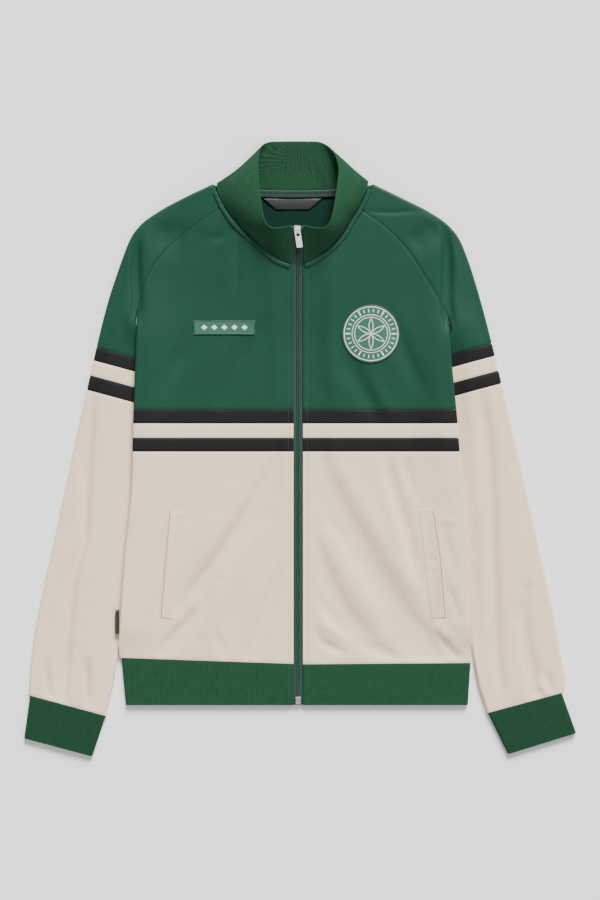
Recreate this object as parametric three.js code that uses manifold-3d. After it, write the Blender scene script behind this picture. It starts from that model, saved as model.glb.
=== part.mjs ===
// A zipped track jacket laid flat on its back: raglan sleeves beside the body, stand collar, rib hem, cuffs.
// Millimetres. +Z is up from the surface, +Y points from hem to collar, and the origin is under the middle.
import * as THREE from 'three';
import { mergeVertices } from 'three/addons/utils/BufferGeometryUtils.js';
import Module from 'manifold-3d';

const wasm = await Module();
wasm.setup();
const { clamp, degToRad, lerp, smoothstep } = THREE.MathUtils;

// Cloth thicknesses and clearances.
const WALL = 2.0;
const SEAM = 0.3;
const RAGLAN_SEAM = 0.4;
const COLLAR_WALL = 2.5;
const TRIM_WALL = 1.2;
const CUFF_TUCK = 1.5;

// A flattened tube of cloth lies LAY high, and its folded edges have half of that as radius.
const LAY = 7.2;
const FOLD_RADIUS = LAY / 2;

// The body's sides lie over the sleeves, so the back rises by RISE over the last stretch to its side edge.
const RISE = 7.5;
const RISE_RUN = 18;
const RISE_FROM = -225;
const RISE_TO = 143;

// Seam heights up the body, and the zip's place between the front edges.
const BAND_SEAMS = [53.5, 34.5, 15, -3.5];
const ZIP_X = -2.4;
const HEM_SEAM = -291;
const HEM_BOTTOM = -346;
const SLEEVE_SLANT = 0.27;

// Around the neck the front stands NECK_RISE higher, fading out over an ellipse about the neck's middle.
const NECK = { x: -8.5, y: 358, halfWidth: 102.5, halfLength: 108 };
const NECK_RISE = 7;
const NECK_FADE = { from: 0.9, to: 1.45 };
const NECK_DIP = { depth: 3.5, halfWidth: 86, rows: 2 };
const NECK_SEAM_GAP = 2.4;
const SHOULDER_TOP = 357.8;
const SHOULDER_BOW = 3;

// A panel's side edge is read at this height to tell where one of its rows ends.
const EDGE_PROBE_Y = -40;
const SIDE_FOLD_RUN = 15;

// Steps of the grids: along a folded edge, across panels, and between rows.
const EDGE_STEPS = 3;
const EDGE_COLUMNS = [9, 18, 27];
const FRONT_COLUMNS = 6;
const BACK_COLUMNS = 2;
const SLEEVE_TOP_STEPS = 7;
const SLEEVE_FOLD_STEPS = 4;
const SLEEVE_BASE_STEPS = 2;

// Each side in distances from the centre line, out to its own side. sign turns them into x.
// bodyEdge: the body's side edge. sleeveInner: the sleeve's edge under it. sleeveOuter: its outer edge.
// raglan and backRaglan: the seams between sleeve and body, from the armpit to the neck.
const LEFT = {
  name: 'left',
  sign: -1,
  zipEdge: 8.8,
  armpitY: 187.7,
  neckCornerY: 247.8,
  tipY: 324.4,
  sleeveSeams: [137.7, 119.7, 99.6, 80, -332.5],
  hemCorner: { x: 241.5, y: -282 },
  hemBottomX: 235.4,
  bodyEdge: [
    { y: 187.7, x: 219.5 },
    { y: 104, x: 222.8 },
    { y: -4, x: 226 },
    { y: -42, x: 226.8 },
    { y: -135, x: 235.8 },
    { y: -186, x: 240 },
    { y: -248, x: 243.7 },
    { y: -290, x: 245 },
  ],
  sleeveInner: [
    { y: 187.7, x: 220.3 },
    { y: 165, x: 222 },
    { y: 150, x: 211 },
    { y: 66, x: 212 },
    { y: -69, x: 218.7 },
    { y: -204, x: 229 },
    { y: -240, x: 240 },
    { y: -262, x: 245.5 },
    { y: -288, x: 246.5 },
    { y: -319, x: 252.5 },
    { y: -359, x: 263.3 },
  ],
  sleeveOuter: [
    { y: 357.8, x: 117.5 },
    { y: 341.6, x: 152.6 },
    { y: 325.4, x: 183.6 },
    { y: 309.2, x: 209.3 },
    { y: 293, x: 225.5 },
    { y: 260.6, x: 239 },
    { y: 195.8, x: 260.6 },
    { y: 82.4, x: 287.6 },
    { y: -112, x: 329.4 },
    { y: -209.3, x: 351 },
    { y: -274.1, x: 361.8 },
    { y: -332.5, x: 366.5 },
  ],
  raglan: [
    { y: 187.7, x: 219.5 },
    { y: 197.6, x: 218.3 },
    { y: 223.4, x: 210.6 },
    { y: 251.9, x: 195.1 },
    { y: 283, x: 166.6 },
    { y: 324.4, x: 108.4 },
  ],
  backRaglan: [
    { y: 187.7, x: 219.5 },
    { y: 220, x: 213 },
    { y: 250, x: 200 },
    { y: 285, x: 175 },
    { y: 318, x: 140 },
    { y: 352, x: 97 },
  ],
  cuff: { outer: [373, -391], inner: [281, -415.5] },
};
const RIGHT = {
  name: 'right',
  sign: 1,
  zipEdge: 4.0,
  armpitY: 177.3,
  neckCornerY: 248.4,
  tipY: 320.5,
  sleeveSeams: [142.8, 126, 106, 88.8, -329],
  hemCorner: { x: 230.9, y: -289 },
  hemBottomX: 227.2,
  bodyEdge: [
    { y: 177.3, x: 200.5 },
    { y: 111, x: 205.2 },
    { y: 43, x: 212 },
    { y: 5, x: 214.7 },
    { y: -83, x: 224 },
    { y: -135, x: 228 },
    { y: -228, x: 230.3 },
    { y: -290, x: 232 },
  ],
  sleeveInner: [
    { y: 177.3, x: 201.3 },
    { y: 158, x: 203.5 },
    { y: 143, x: 194 },
    { y: 66, x: 197 },
    { y: -69, x: 212 },
    { y: -204, x: 222 },
    { y: -235, x: 229.5 },
    { y: -258, x: 232.8 },
    { y: -283, x: 233.8 },
    { y: -336, x: 246 },
    { y: -360, x: 255 },
  ],
  sleeveOuter: [
    { y: 357.8, x: 98.6 },
    { y: 341.6, x: 132.3 },
    { y: 325.4, x: 166.1 },
    { y: 309.2, x: 193.1 },
    { y: 293, x: 210.6 },
    { y: 260.6, x: 225.5 },
    { y: 195.8, x: 245.7 },
    { y: 82.4, x: 274.1 },
    { y: -112, x: 318.6 },
    { y: -209.3, x: 340.2 },
    { y: -274.1, x: 352.4 },
    { y: -329, x: 362.2 },
  ],
  raglan: [
    { y: 177.3, x: 200.5 },
    { y: 192.6, x: 193.7 },
    { y: 213.3, x: 180.8 },
    { y: 239.2, x: 165.2 },
    { y: 270.1, x: 144.5 },
    { y: 298.6, x: 116.1 },
    { y: 320.5, x: 84 },
  ],
  backRaglan: [
    { y: 177.3, x: 200.5 },
    { y: 210, x: 191 },
    { y: 245, x: 174 },
    { y: 285, x: 147 },
    { y: 318, x: 117 },
    { y: 353, x: 79 },
  ],
  cuff: { outer: [373.5, -384], inner: [281, -412.5] },
};
const SIDES = [LEFT, RIGHT];

// The stand collar from its left front edge round the back to the right one: seam point and top point.
const COLLAR_STATIONS = [
  { seamX: -11.5, seamY: 249.9, seamZ: 14, topX: -11.9, topY: 299, topZ: 36 },
  { seamX: -31.7, seamY: 258.4, seamZ: 14, topX: -28, topY: 295.5, topZ: 39.5 },
  { seamX: -52.4, seamY: 275.7, seamZ: 14, topX: -38.5, topY: 296, topZ: 42 },
  { seamX: -78.2, seamY: 298.1, seamZ: 13.5, topX: -46, topY: 304, topZ: 42 },
  { seamX: -95.4, seamY: 318.7, seamZ: 13, topX: -50.3, topY: 322, topZ: 39.5 },
  { seamX: -107, seamY: 339.4, seamZ: 11, topX: -53, topY: 343, topZ: 34 },
  { seamX: -111.5, seamY: 352, seamZ: 7, topX: -55.3, topY: 368, topZ: 26 },
  { seamX: -111, seamY: 359.5, seamZ: 3.5, topX: -55, topY: 392, topZ: 15.5 },
  { seamX: -102, seamY: 358.5, seamZ: 1.8, topX: -50.5, topY: 409, topZ: 8.5 },
  { seamX: -82, seamY: 354.5, seamZ: 1.6, topX: -42, topY: 415, topZ: 4 },
  { seamX: -50, seamY: 351, seamZ: 1.5, topX: -26, topY: 416.3, topZ: 1.8 },
  { seamX: -8, seamY: 350, seamZ: 1.5, topX: -8, topY: 416.5, topZ: 1.5 },
  { seamX: 32, seamY: 351, seamZ: 1.5, topX: 10, topY: 416.3, topZ: 1.8 },
  { seamX: 62, seamY: 354.5, seamZ: 1.6, topX: 27, topY: 415, topZ: 4 },
  { seamX: 82, seamY: 359.5, seamZ: 1.8, topX: 38, topY: 408, topZ: 8.5 },
  { seamX: 91, seamY: 362, seamZ: 3.5, topX: 46, topY: 397, topZ: 14 },
  { seamX: 91, seamY: 355, seamZ: 7, topX: 51, topY: 379, topZ: 21 },
  { seamX: 86.5, seamY: 344, seamZ: 10.5, topX: 50.1, topY: 361.8, topZ: 27.5 },
  { seamX: 79, seamY: 328, seamZ: 12.5, topX: 46.7, topY: 336, topZ: 35 },
  { seamX: 68.2, seamY: 310.1, seamZ: 13.2, topX: 44, topY: 318.7, topZ: 39.5 },
  { seamX: 54.4, seamY: 287.7, seamZ: 13.8, topX: 39, topY: 302, topZ: 42 },
  { seamX: 37.3, seamY: 270.5, seamZ: 14, topX: 32, topY: 295.5, topZ: 42 },
  { seamX: 20, seamY: 258.4, seamZ: 14, topX: 20, topY: 295.5, topZ: 39.5 },
  { seamX: 4.3, seamY: 250.4, seamZ: 14, topX: 4.3, topY: 299, topZ: 36 },
];
const COLLAR_ROWS = 4;
const COLLAR_COLUMNS = 36;
const COLLAR_BULGE = 3;
const COLLAR_STANDS = [6, 16];
const STANDING_SEAM = 10.5;
const STRIP = { lowest: 6, across: [2.2, 4.8, 7.4], gap: 0.9, part: 0.94, rows: 14 };

// Air inside the laid cloth: each swell is a soft mound.
const SWELLS = [
  { x: -115, y: 140, spreadX: 62, spreadY: 70, height: 2.6 },
  { x: 100, y: 140, spreadX: 58, spreadY: 70, height: 2.6 },
  { x: -120, y: -150, spreadX: 66, spreadY: 95, height: 4.2 },
  { x: 118, y: -150, spreadX: 66, spreadY: 95, height: 4.2 },
  { x: -205, y: 265, spreadX: 34, spreadY: 60, height: 3.0 },
  { x: 185, y: 262, spreadX: 34, spreadY: 60, height: 3.0 },
  { x: -255, y: 90, spreadX: 26, spreadY: 90, height: 2.4 },
  { x: 240, y: 90, spreadX: 26, spreadY: 90, height: 2.4 },
  { x: -290, y: -140, spreadX: 40, spreadY: 150, height: 3.2 },
  { x: 278, y: -140, spreadX: 40, spreadY: 150, height: 3.2 },
];

// The largest folds: a soft trough (negative height) or ridge from one point to the other.
const FOLDS = [
  { x1: -40, y1: -30, x2: -95, y2: -130, width: 22, height: -3.2 },
  { x1: -95, y1: -130, x2: -190, y2: -272, width: 22, height: -3.2 },
  { x1: -20, y1: -89, x2: -68, y2: -178, width: 14, height: -2.0 },
  { x1: -26, y1: -157, x2: -64, y2: -265, width: 10, height: -2.6 },
  { x1: 38, y1: -49, x2: 88, y2: -116, width: 20, height: -3.2 },
  { x1: 88, y1: -116, x2: 169, y2: -251, width: 22, height: -3.4 },
  { x1: 18, y1: -116, x2: 68, y2: -204, width: 14, height: -2.2 },
  { x1: 20, y1: -180, x2: 74, y2: -244, width: 10, height: -2.4 },
  { x1: 74, y1: -244, x2: 122, y2: -269, width: 10, height: -2.4 },
  { x1: 121, y1: -42, x2: 169, y2: -163, width: 15, height: -2.2 },
  { x1: 171, y1: -236, x2: 197, y2: -276, width: 9, height: -2.6 },
  { x1: 196, y1: -225, x2: 216, y2: -268, width: 9, height: 2.6 },
  { x1: -223, y1: 300, x2: -225, y2: 212, width: 9, height: -3.8 },
  { x1: 203, y1: 298, x2: 206, y2: 205, width: 9, height: -3.8 },
  { x1: -294, y1: -100, x2: -315, y2: -235, width: 14, height: -3.0 },
  { x1: -315, y1: -235, x2: -316, y2: -325, width: 11, height: -3.0 },
  { x1: 262, y1: -50, x2: 269, y2: -320, width: 13, height: -2.8 },
  { x1: 312, y1: -180, x2: 300, y2: -244, width: 11, height: -3.0 },
  { x1: 300, y1: -244, x2: 321, y2: -330, width: 11, height: -3.0 },
  { x1: -252, y1: 60, x2: -262, y2: -40, width: 12, height: -1.8 },
  { x1: 236, y1: 60, x2: 246, y2: -30, width: 12, height: -1.8 },
];
const DEEPEST_TROUGH = -2.2;

// Where the relief fades out: beside the zip, above the hem, at folded side edges and at a sleeve's edges.
const FADE = {
  zip: [16, 38],
  hem: [-289, -262],
  side: [4, 24],
  sleeveOuter: [3, 20],
  sleeveInner: [16, 34],
  cuff: 22,
  armpit: 25,
};

// Pocket welts: the inner long edge and the outer one, each from top to bottom.
const WELTS = {
  left: [[-156, -84.8], [-170.8, -229.9], [-187.2, -227.9], [-174.8, -84.2]],
  right: [[159.8, -81], [176.6, -228.8], [195.2, -227.9], [187.9, -145], [178.7, -81]],
};
const CHEST_PATCH = { x: -102.1, y: 163.8, width: 83.6, length: 18.9 };
const CREST = { x: 96.1, y: 155.3, radius: 39 };
const NECK_TAPE = { left: -92, right: 76, y: 339, width: 5.2, sag: 3.4, halfWidth: 88, middle: -8.5 };
const NECK_LABEL = [[-50.6, 338.6], [30.2, 338.6], [12.2, 324], [-32.5, 324]];
const LABEL_WALL = 0.8;
const SIDE_LABEL = { x: -246.6, y: -233, width: 5.4, length: 33, low: 10.5 };

// Zip: tape and chain sizes, and the hard parts.
const TAPE = { width: 10, wall: 0.8, below: 3.1, belowCollar: 3.3, low: -345, high: 298 };
const CHAIN = { width: 6, wall: 1.8 };
const COLLAR_FRONT = { seamY: 249.9, seamZ: 14, topY: 299, topZ: 36 };
const COLLAR_SLOPE = Math.atan2(
  COLLAR_FRONT.topZ - COLLAR_FRONT.seamZ,
  COLLAR_FRONT.topY - COLLAR_FRONT.seamY,
);
const SLIDER = { x: -3.6, y: 294.3, length: 10.6, topWidth: 9, lowWidth: 6.4, wall: 3.4 };
const ARCH = {
  width: 3,
  length: 8,
  height: 3.6,
  bar: 1.2,
  leg: 1.6,
  bevel: [1.2, 1],
  sunk: 0.5,
  hinge: 1.35,
};
const PULL = {
  width: 8.3,
  length: 24.6,
  wall: 1.2,
  bar: 1.4,
  slotWidth: 4,
  slotLength: 7,
  lean: 8,
  droop: 2,
  topCorner: 0.5,
  lowCorner: 1.2,
  recess: { halfWidth: 2.4, margin: 2, depth: 0.3 },
};
const BOX = { x: ZIP_X, y: -339.5, width: 7, length: 9, wall: 3.4 };

const cloth = (color, roughness) => new THREE.MeshStandardMaterial({ color, roughness, metalness: 0 });
const metal = (color) => new THREE.MeshStandardMaterial({ color, roughness: 0.3, metalness: 1 });
const MATERIALS = {
  greenTricot: cloth(0x255c46, 0.6),
  creamTricot: cloth(0xd9cdc2, 0.65),
  blackTricot: cloth(0x282728, 0.6),
  greenRib: cloth(0x264f38, 0.85),
  zipGreen: cloth(0x20443a, 0.7),
  blackSatin: cloth(0x1c1c1e, 0.45),
  embroidery: cloth(0x2b6a50, 0.8),
  nickel: metal(0xb4b2b2),
};

// A smooth curve through a table, read off at any value of the key column without overshooting.
function curve(rows, key, value) {
  const sorted = [...rows].sort((a, b) => a[key] - b[key]);
  const last = sorted.length - 1;
  const rise = (i) => (sorted[i + 1][value] - sorted[i][value]) / (sorted[i + 1][key] - sorted[i][key]);
  const slope = (i) => {
    if (i === 0) return rise(0);
    if (i === last) return rise(last - 1);
    const before = rise(i - 1);
    const after = rise(i);
    return before * after <= 0 ? 0 : (2 * before * after) / (before + after);
  };
  return (at) => {
    const place = clamp(at, sorted[0][key], sorted[last][key]);
    const i = Math.min(last - 1, Math.max(0, sorted.findIndex((row) => row[key] > place) - 1));
    const start = place >= sorted[last][key] ? last - 1 : i;
    const span = sorted[start + 1][key] - sorted[start][key];
    const t = (place - sorted[start][key]) / span;
    const a = sorted[start][value];
    const b = sorted[start + 1][value];
    const bend = slope(start) * t * (1 - t) ** 2 - slope(start + 1) * t ** 2 * (1 - t);
    return lerp(a, b, t * t * (3 - 2 * t)) + span * bend;
  };
}

for (const side of SIDES) {
  side.edgeAt = curve(side.bodyEdge, 'y', 'x');
  side.innerAt = curve(side.sleeveInner, 'y', 'x');
  side.outerAt = curve(side.sleeveOuter, 'y', 'x');
  side.raglanAt = curve(side.raglan, 'y', 'x');
  side.backRaglanAt = curve(side.backRaglan, 'y', 'x');
  const seam = COLLAR_STATIONS.filter((row) => row.seamX * side.sign > 0 && row.seamZ > STANDING_SEAM);
  side.neckAt = curve(seam.map((row) => ({ y: row.seamY, x: row.seamX * side.sign })), 'y', 'x');
}

// How high the front stands because of the collar.
function neckRise(x, y) {
  const ring = Math.hypot((x - NECK.x) / NECK.halfWidth, (y - NECK.y) / NECK.halfLength);
  return NECK_RISE * (1 - smoothstep(ring, NECK_FADE.from, NECK_FADE.to));
}

// Swells and folds together, kept above the layer below.
function relief(x, y) {
  let height = 0;
  for (const swell of SWELLS) {
    const reach = ((x - swell.x) / swell.spreadX) ** 2 + ((y - swell.y) / swell.spreadY) ** 2;
    height += swell.height * Math.exp(-reach);
  }
  for (const fold of FOLDS) {
    const runX = fold.x2 - fold.x1;
    const runY = fold.y2 - fold.y1;
    const length = Math.hypot(runX, runY);
    const along = ((x - fold.x1) * runX + (y - fold.y1) * runY) / length;
    const across = ((x - fold.x1) * runY - (y - fold.y1) * runX) / length;
    const past = Math.max(0, -along, along - length);
    height += fold.height * Math.exp(-((across / fold.width) ** 2) - (past / (1.5 * fold.width)) ** 2);
  }
  return Math.max(DEEPEST_TROUGH, height);
}

const sideOf = (x) => (x < 0 ? LEFT : RIGHT);
const belowArmpit = (side, y, run) => smoothstep(side.armpitY - y, 0, run);

// Height of the back's underside over the surface.
function backRise(x, y) {
  const side = sideOf(x);
  const lengthwise = smoothstep(side.armpitY - y, 2.5, 20) * smoothstep(y, -284, -260);
  const covered = side.innerAt(clamp(y, RISE_FROM, RISE_TO));
  const sideways = smoothstep(side.sign * x - covered + RISE_RUN, 0, RISE_RUN);
  return RISE * lengthwise * sideways;
}

// Height of the front's upper face.
function frontTop(x, y) {
  const side = sideOf(x);
  const atZip = smoothstep(Math.abs(x - ZIP_X), ...FADE.zip);
  const atHem = smoothstep(y, ...FADE.hem);
  const folded = belowArmpit(side, y, FADE.armpit);
  const atSide = lerp(1, smoothstep(side.edgeAt(y) - side.sign * x, ...FADE.side), folded);
  return backRise(x, y) + LAY + neckRise(x, y) + atZip * atHem * atSide * relief(x, y);
}

// Height of a sleeve's upper face.
function sleeveTop(x, y) {
  const side = sideOf(x);
  const out = side.sign * x;
  const cuffSeam = side.sleeveSeams[4];
  const folded = belowArmpit(side, y, FADE.armpit);
  const atOuter = smoothstep(side.outerAt(y) - out, ...FADE.sleeveOuter);
  const atInner = lerp(1, smoothstep(out - side.innerAt(y), ...FADE.sleeveInner), folded);
  const atCuff = smoothstep(y + SLEEVE_SLANT * (side.outerAt(y) - out), cuffSeam, cuffSeam + FADE.cuff);
  return LAY + neckRise(x, y) + atOuter * atInner * atCuff * relief(x, y);
}

// A closed solid between two grids of points of the same size.
function shellGeometry(face, back) {
  const rows = face.length;
  const columns = face[0].length;
  const points = [...face.flat(), ...back.flat()];
  const at = (layer, row, column) => (layer * rows + row) * columns + column;
  const index = [];
  const quad = (a, b, c, d) => index.push(a, b, c, a, c, d);
  for (let r = 0; r + 1 < rows; r++) {
    for (let c = 0; c + 1 < columns; c++) {
      quad(at(0, r, c), at(0, r, c + 1), at(0, r + 1, c + 1), at(0, r + 1, c));
      quad(at(1, r, c), at(1, r + 1, c), at(1, r + 1, c + 1), at(1, r, c + 1));
    }
    quad(at(0, r, 0), at(0, r + 1, 0), at(1, r + 1, 0), at(1, r, 0));
    quad(at(0, r, columns - 1), at(1, r, columns - 1), at(1, r + 1, columns - 1), at(0, r + 1, columns - 1));
  }
  for (let c = 0; c + 1 < columns; c++) {
    quad(at(0, 0, c), at(1, 0, c), at(1, 0, c + 1), at(0, 0, c + 1));
    quad(at(0, rows - 1, c), at(0, rows - 1, c + 1), at(1, rows - 1, c + 1), at(1, rows - 1, c));
  }
  const geometry = new THREE.BufferGeometry().setFromPoints(points);
  geometry.setIndex(signedVolume(points, index) < 0 ? index.reverse() : index);
  geometry.computeVertexNormals();
  return geometry;
}

function signedVolume(points, index) {
  let sum = 0;
  for (let i = 0; i < index.length; i += 3) {
    const [a, b, c] = [points[index[i]], points[index[i + 1]], points[index[i + 2]]];
    sum += a.dot(new THREE.Vector3().crossVectors(b, c));
  }
  return sum / 6;
}

// The direction along a row at one point. At an end it follows the row's bend, so a fold's rim stays square.
function rowSlope(row, c) {
  const last = row.length - 1;
  if (c > 0 && c < last) return row[c + 1].clone().sub(row[c - 1]);
  const inward = c === 0 ? 1 : -1;
  const first = row[c + inward].clone().sub(row[c]);
  const second = row[c + 2 * inward].clone().sub(row[c + inward]);
  return first.multiplyScalar(3).sub(second).multiplyScalar(inward);
}

// Unit normals of a grid, turned so that the one in column probe of the middle row agrees with facing.
function gridNormals(grid, facing, probe) {
  const rows = grid.length;
  const columns = grid[0].length;
  const normals = grid.map((row, r) =>
    row.map((point, c) => {
      const alongRow = rowSlope(row, c);
      const alongColumn = grid[Math.min(r + 1, rows - 1)][c].clone().sub(grid[Math.max(r - 1, 0)][c]);
      return alongRow.cross(alongColumn).normalize();
    }),
  );
  const turned = normals[Math.floor(rows / 2)][probe].dot(facing) < 0 ? -1 : 1;
  return normals.map((row) => row.map((normal) => normal.multiplyScalar(turned)));
}

const moved = (grid, normals, distance) =>
  grid.map((row, r) => row.map((point, c) => point.clone().addScaledVector(normals[r][c], distance)));
const lifted = (grid, height) =>
  grid.map((row) => row.map((point) => point.clone().setZ(point.z + height)));

// Cloth of one thickness whose outer face is the grid. Its edges are cut square to the seams: flat ends of
// rows straight up and down, and the first and last rows without any lean along the jacket.
function wallFromGrid(grid, wall, facing, probe, squareFirst = true) {
  const normals = gridNormals(grid, facing, probe);
  for (const row of normals) {
    for (const end of [row[0], row.at(-1)]) {
      if (Math.abs(end.z) > 0.5) end.set(0, 0, Math.sign(end.z));
    }
  }
  const seamRows = squareFirst ? [normals[0], normals.at(-1)] : [normals.at(-1)];
  for (const normal of seamRows.flat()) normal.setY(0).normalize();
  return shellGeometry(grid, moved(grid, normals, -wall));
}

const UP = new THREE.Vector3(0, 0, 1);
const DOWN = new THREE.Vector3(0, 0, -1);
const steps = (count) => Array.from({ length: count + 1 }, (unused, i) => i / count);
const spread = (from, to, count) => steps(count).map((t) => lerp(from, to, t));

// Distances in from a folded side edge, with the fold's turn from its rim (0) to flat (1).
function edgeColumns(width) {
  const shrink = Math.min(1, width / 60);
  const fold = steps(EDGE_STEPS).map((t) => {
    const angle = (t * Math.PI) / 2;
    return { inset: FOLD_RADIUS * (1 - Math.cos(angle)), turn: Math.sin(angle) };
  });
  const flat = EDGE_COLUMNS.map((inset) => Math.max(inset * shrink, FOLD_RADIUS + 0.6));
  return [...fold, ...flat.map((inset) => ({ inset, turn: 1 }))];
}

// Rows up the body below and above the armpits. Fronts and back share them, so that their side seams match.
const hemSeamY = (side, out) => lerp(HEM_SEAM, side.hemCorner.y, out / side.hemCorner.x);
const LOWER_ROWS = steps(11);
const lowerRowY = (side, t, out) => lerp(BAND_SEAMS[3] - SEAM / 2, hemSeamY(side, out) + SEAM / 2, t);

// Heights of the rows of an upper panel: evenly to the armpit, then along the raglan seam to the neck.
function upperRows(side) {
  const below = spread(BAND_SEAMS[0] + SEAM / 2, side.armpitY - 24, 3);
  const fold = spread(side.armpitY - 18, side.armpitY, 3);
  const beside = spread(side.armpitY, side.neckCornerY, 4).slice(1);
  const above = spread(side.neckCornerY + 2.1, side.tipY, 6);
  return { below: [...below, ...fold], beside, above };
}

// One row of a front panel, from the zip edge out to the side edge.
function frontRow(side, rowY, open) {
  const edgeY = rowY(side.edgeAt(EDGE_PROBE_Y));
  const outer = open ? side.raglanAt(edgeY) - RAGLAN_SEAM / 2 : side.edgeAt(edgeY);
  const pastCorner = edgeY > side.neckCornerY;
  const inner = pastCorner ? side.neckAt(edgeY) + NECK_SEAM_GAP : side.zipEdge;
  const columns = edgeColumns(outer - inner);
  const flatEnd = outer - columns.at(-1).inset;
  const points = spread(inner, flatEnd, FRONT_COLUMNS).slice(0, -1).map((out) => ({ out, turn: 1 }));
  points.push(...columns.reverse().map((column) => ({ out: outer - column.inset, turn: column.turn })));
  const closed = open ? 0 : belowArmpit(side, edgeY, SIDE_FOLD_RUN);
  return points.map(({ out, turn }) => {
    const x = side.sign * out;
    const y = rowY(out);
    const top = frontTop(x, y);
    const middle = backRise(x, y) + FOLD_RADIUS + SEAM / 2;
    return new THREE.Vector3(x, y, lerp(top, lerp(middle, top, turn), closed));
  });
}

// One row of the back, from the left side edge to the right one. rowY gives its height by side and distance.
function backRow(rowY, open, dip) {
  const at = (side, out, height) => {
    const x = side.sign * out;
    const y = rowY(side, out);
    return new THREE.Vector3(x, y + dip(x), height(backRise(x, y)));
  };
  const halves = SIDES.map((side) => {
    const edgeY = rowY(side, side.edgeAt(EDGE_PROBE_Y));
    const outer = open ? side.backRaglanAt(edgeY) - RAGLAN_SEAM / 2 : side.edgeAt(edgeY);
    const closed = open ? 0 : belowArmpit(side, edgeY, SIDE_FOLD_RUN);
    const edge = edgeColumns(outer).map(({ inset, turn }) =>
      at(side, outer - inset, (low) => lerp(low, lerp(low + FOLD_RADIUS - SEAM / 2, low, turn), closed)));
    const flat = spread(Math.abs(edge.at(-1).x), 0, BACK_COLUMNS).slice(1, -1);
    return [...edge, ...flat.map((out) => at(side, out, (low) => low))];
  });
  return [...halves[0], at(LEFT, 0, (low) => low), ...halves[1].reverse()];
}
const level = () => 0;

// One row round a sleeve: from the front edge over the outer fold and back underneath to the back edge.
function sleeveRow(side, { front, outer, back, closed, bend = 0 }) {
  const inPlan = ([out, y]) => new THREE.Vector2(side.sign * out, y);
  const [frontPoint, outerPoint, backPoint] = [front, outer, back].map(inPlan);
  const points = [];
  const add = (edge, t, height) => {
    const away = outerPoint.clone().sub(edge);
    const length = away.length();
    const place = edge.clone().addScaledVector(away, t / length);
    const bow = bend * Math.sin((Math.PI * t) / length);
    const x = place.x - side.sign * bow;
    const top = sleeveTop(x, place.y);
    points.push(new THREE.Vector3(x, place.y, height(top)));
  };
  const quarter = (count) => spread(0, Math.PI / 2, count);
  const topLength = outerPoint.distanceTo(frontPoint);
  const baseLength = outerPoint.distanceTo(backPoint);
  for (const angle of quarter(EDGE_STEPS - 1)) {
    add(frontPoint, FOLD_RADIUS * (1 - Math.cos(angle)), (top) =>
      lerp(top, lerp(top / 2 + SEAM / 2, top, Math.sin(angle)), closed));
  }
  const flatTop = spread(FOLD_RADIUS, topLength - FOLD_RADIUS, SLEEVE_TOP_STEPS).slice(1, -1);
  for (const t of flatTop) add(frontPoint, t, (top) => top);
  for (const angle of spread(Math.PI / 2, -Math.PI / 2, SLEEVE_FOLD_STEPS)) {
    const inset = FOLD_RADIUS * (1 - Math.cos(angle));
    const upper = angle > -1e-6;
    const edge = upper ? frontPoint : backPoint;
    const length = upper ? topLength : baseLength;
    add(edge, length - inset, (top) => (top / 2) * (1 + Math.sin(angle)));
  }
  const flatBase = spread(baseLength - FOLD_RADIUS, FOLD_RADIUS, SLEEVE_BASE_STEPS).slice(1, -1);
  for (const t of flatBase) add(backPoint, t, () => 0);
  for (const angle of quarter(EDGE_STEPS - 1).reverse()) {
    add(backPoint, FOLD_RADIUS * (1 - Math.cos(angle)), (top) =>
      lerp(0, lerp(top / 2 - SEAM / 2, 0, Math.sin(angle)), closed));
  }
  return points;
}

// Both ends of the sleeve's row below the armpit whose outer end is at height outerY, in distance and height.
function sleeveEnds(side, outerY) {
  const outer = side.outerAt(outerY);
  let innerY = outerY - 15;
  for (let i = 0; i < 4; i++) innerY = outerY - SLEEVE_SLANT * (outer - side.innerAt(innerY));
  return { outer: new THREE.Vector2(outer, outerY), inner: new THREE.Vector2(side.innerAt(innerY), innerY) };
}

function tubeRow(side, outerY) {
  const { outer, inner } = sleeveEnds(side, outerY);
  const edge = inner.toArray();
  const closed = belowArmpit(side, inner.y, SIDE_FOLD_RUN);
  return sleeveRow(side, { front: edge, outer: outer.toArray(), back: edge, closed });
}

// Points at even parts of a sleeve's outer edge from the neck down to the row of the armpit.
function shoulderPoints(side, count) {
  const lowY = side.armpitY + SLEEVE_SLANT * (side.outerAt(side.armpitY) - side.edgeAt(side.armpitY));
  const outline = spread(SHOULDER_TOP, lowY, 60).map((y) => new THREE.Vector3(side.outerAt(y), y, 0));
  const path = new THREE.CurvePath();
  outline.slice(1).forEach((point, i) => path.add(new THREE.LineCurve3(outline[i], point)));
  return steps(count).map((t) => path.getPointAt(t)).map((point) => [point.x, point.y]);
}

// The rows of a sleeve's upper panel along the raglan seams. The fronts and the back use the same heights.
function raglanRows(side) {
  const { beside, above } = upperRows(side);
  const frontYs = [side.armpitY, ...beside, ...above].reverse();
  const outers = shoulderPoints(side, frontYs.length - 1);
  const backYs = backRaglanYs(side);
  return frontYs.map((y, i) => ({
    front: [side.raglanAt(y) + RAGLAN_SEAM / 2, y],
    outer: outers[i],
    back: [side.backRaglanAt(backYs[i]) + RAGLAN_SEAM / 2, backYs[i]],
    closed: 0,
    bend: SHOULDER_BOW * Math.max(0, 1 - i / 3),
  }));
}

function backRaglanYs(side) {
  const { beside, above } = upperRows(side);
  return spread(side.backRaglan.at(-1).y - 0.5, side.armpitY, beside.length + above.length);
}

const root = new THREE.Group();
const grids = {};

function addMesh(name, geometry, material, parent = root) {
  const mesh = new THREE.Mesh(geometry, material);
  mesh.name = name;
  parent.add(mesh);
  return mesh;
}

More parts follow.
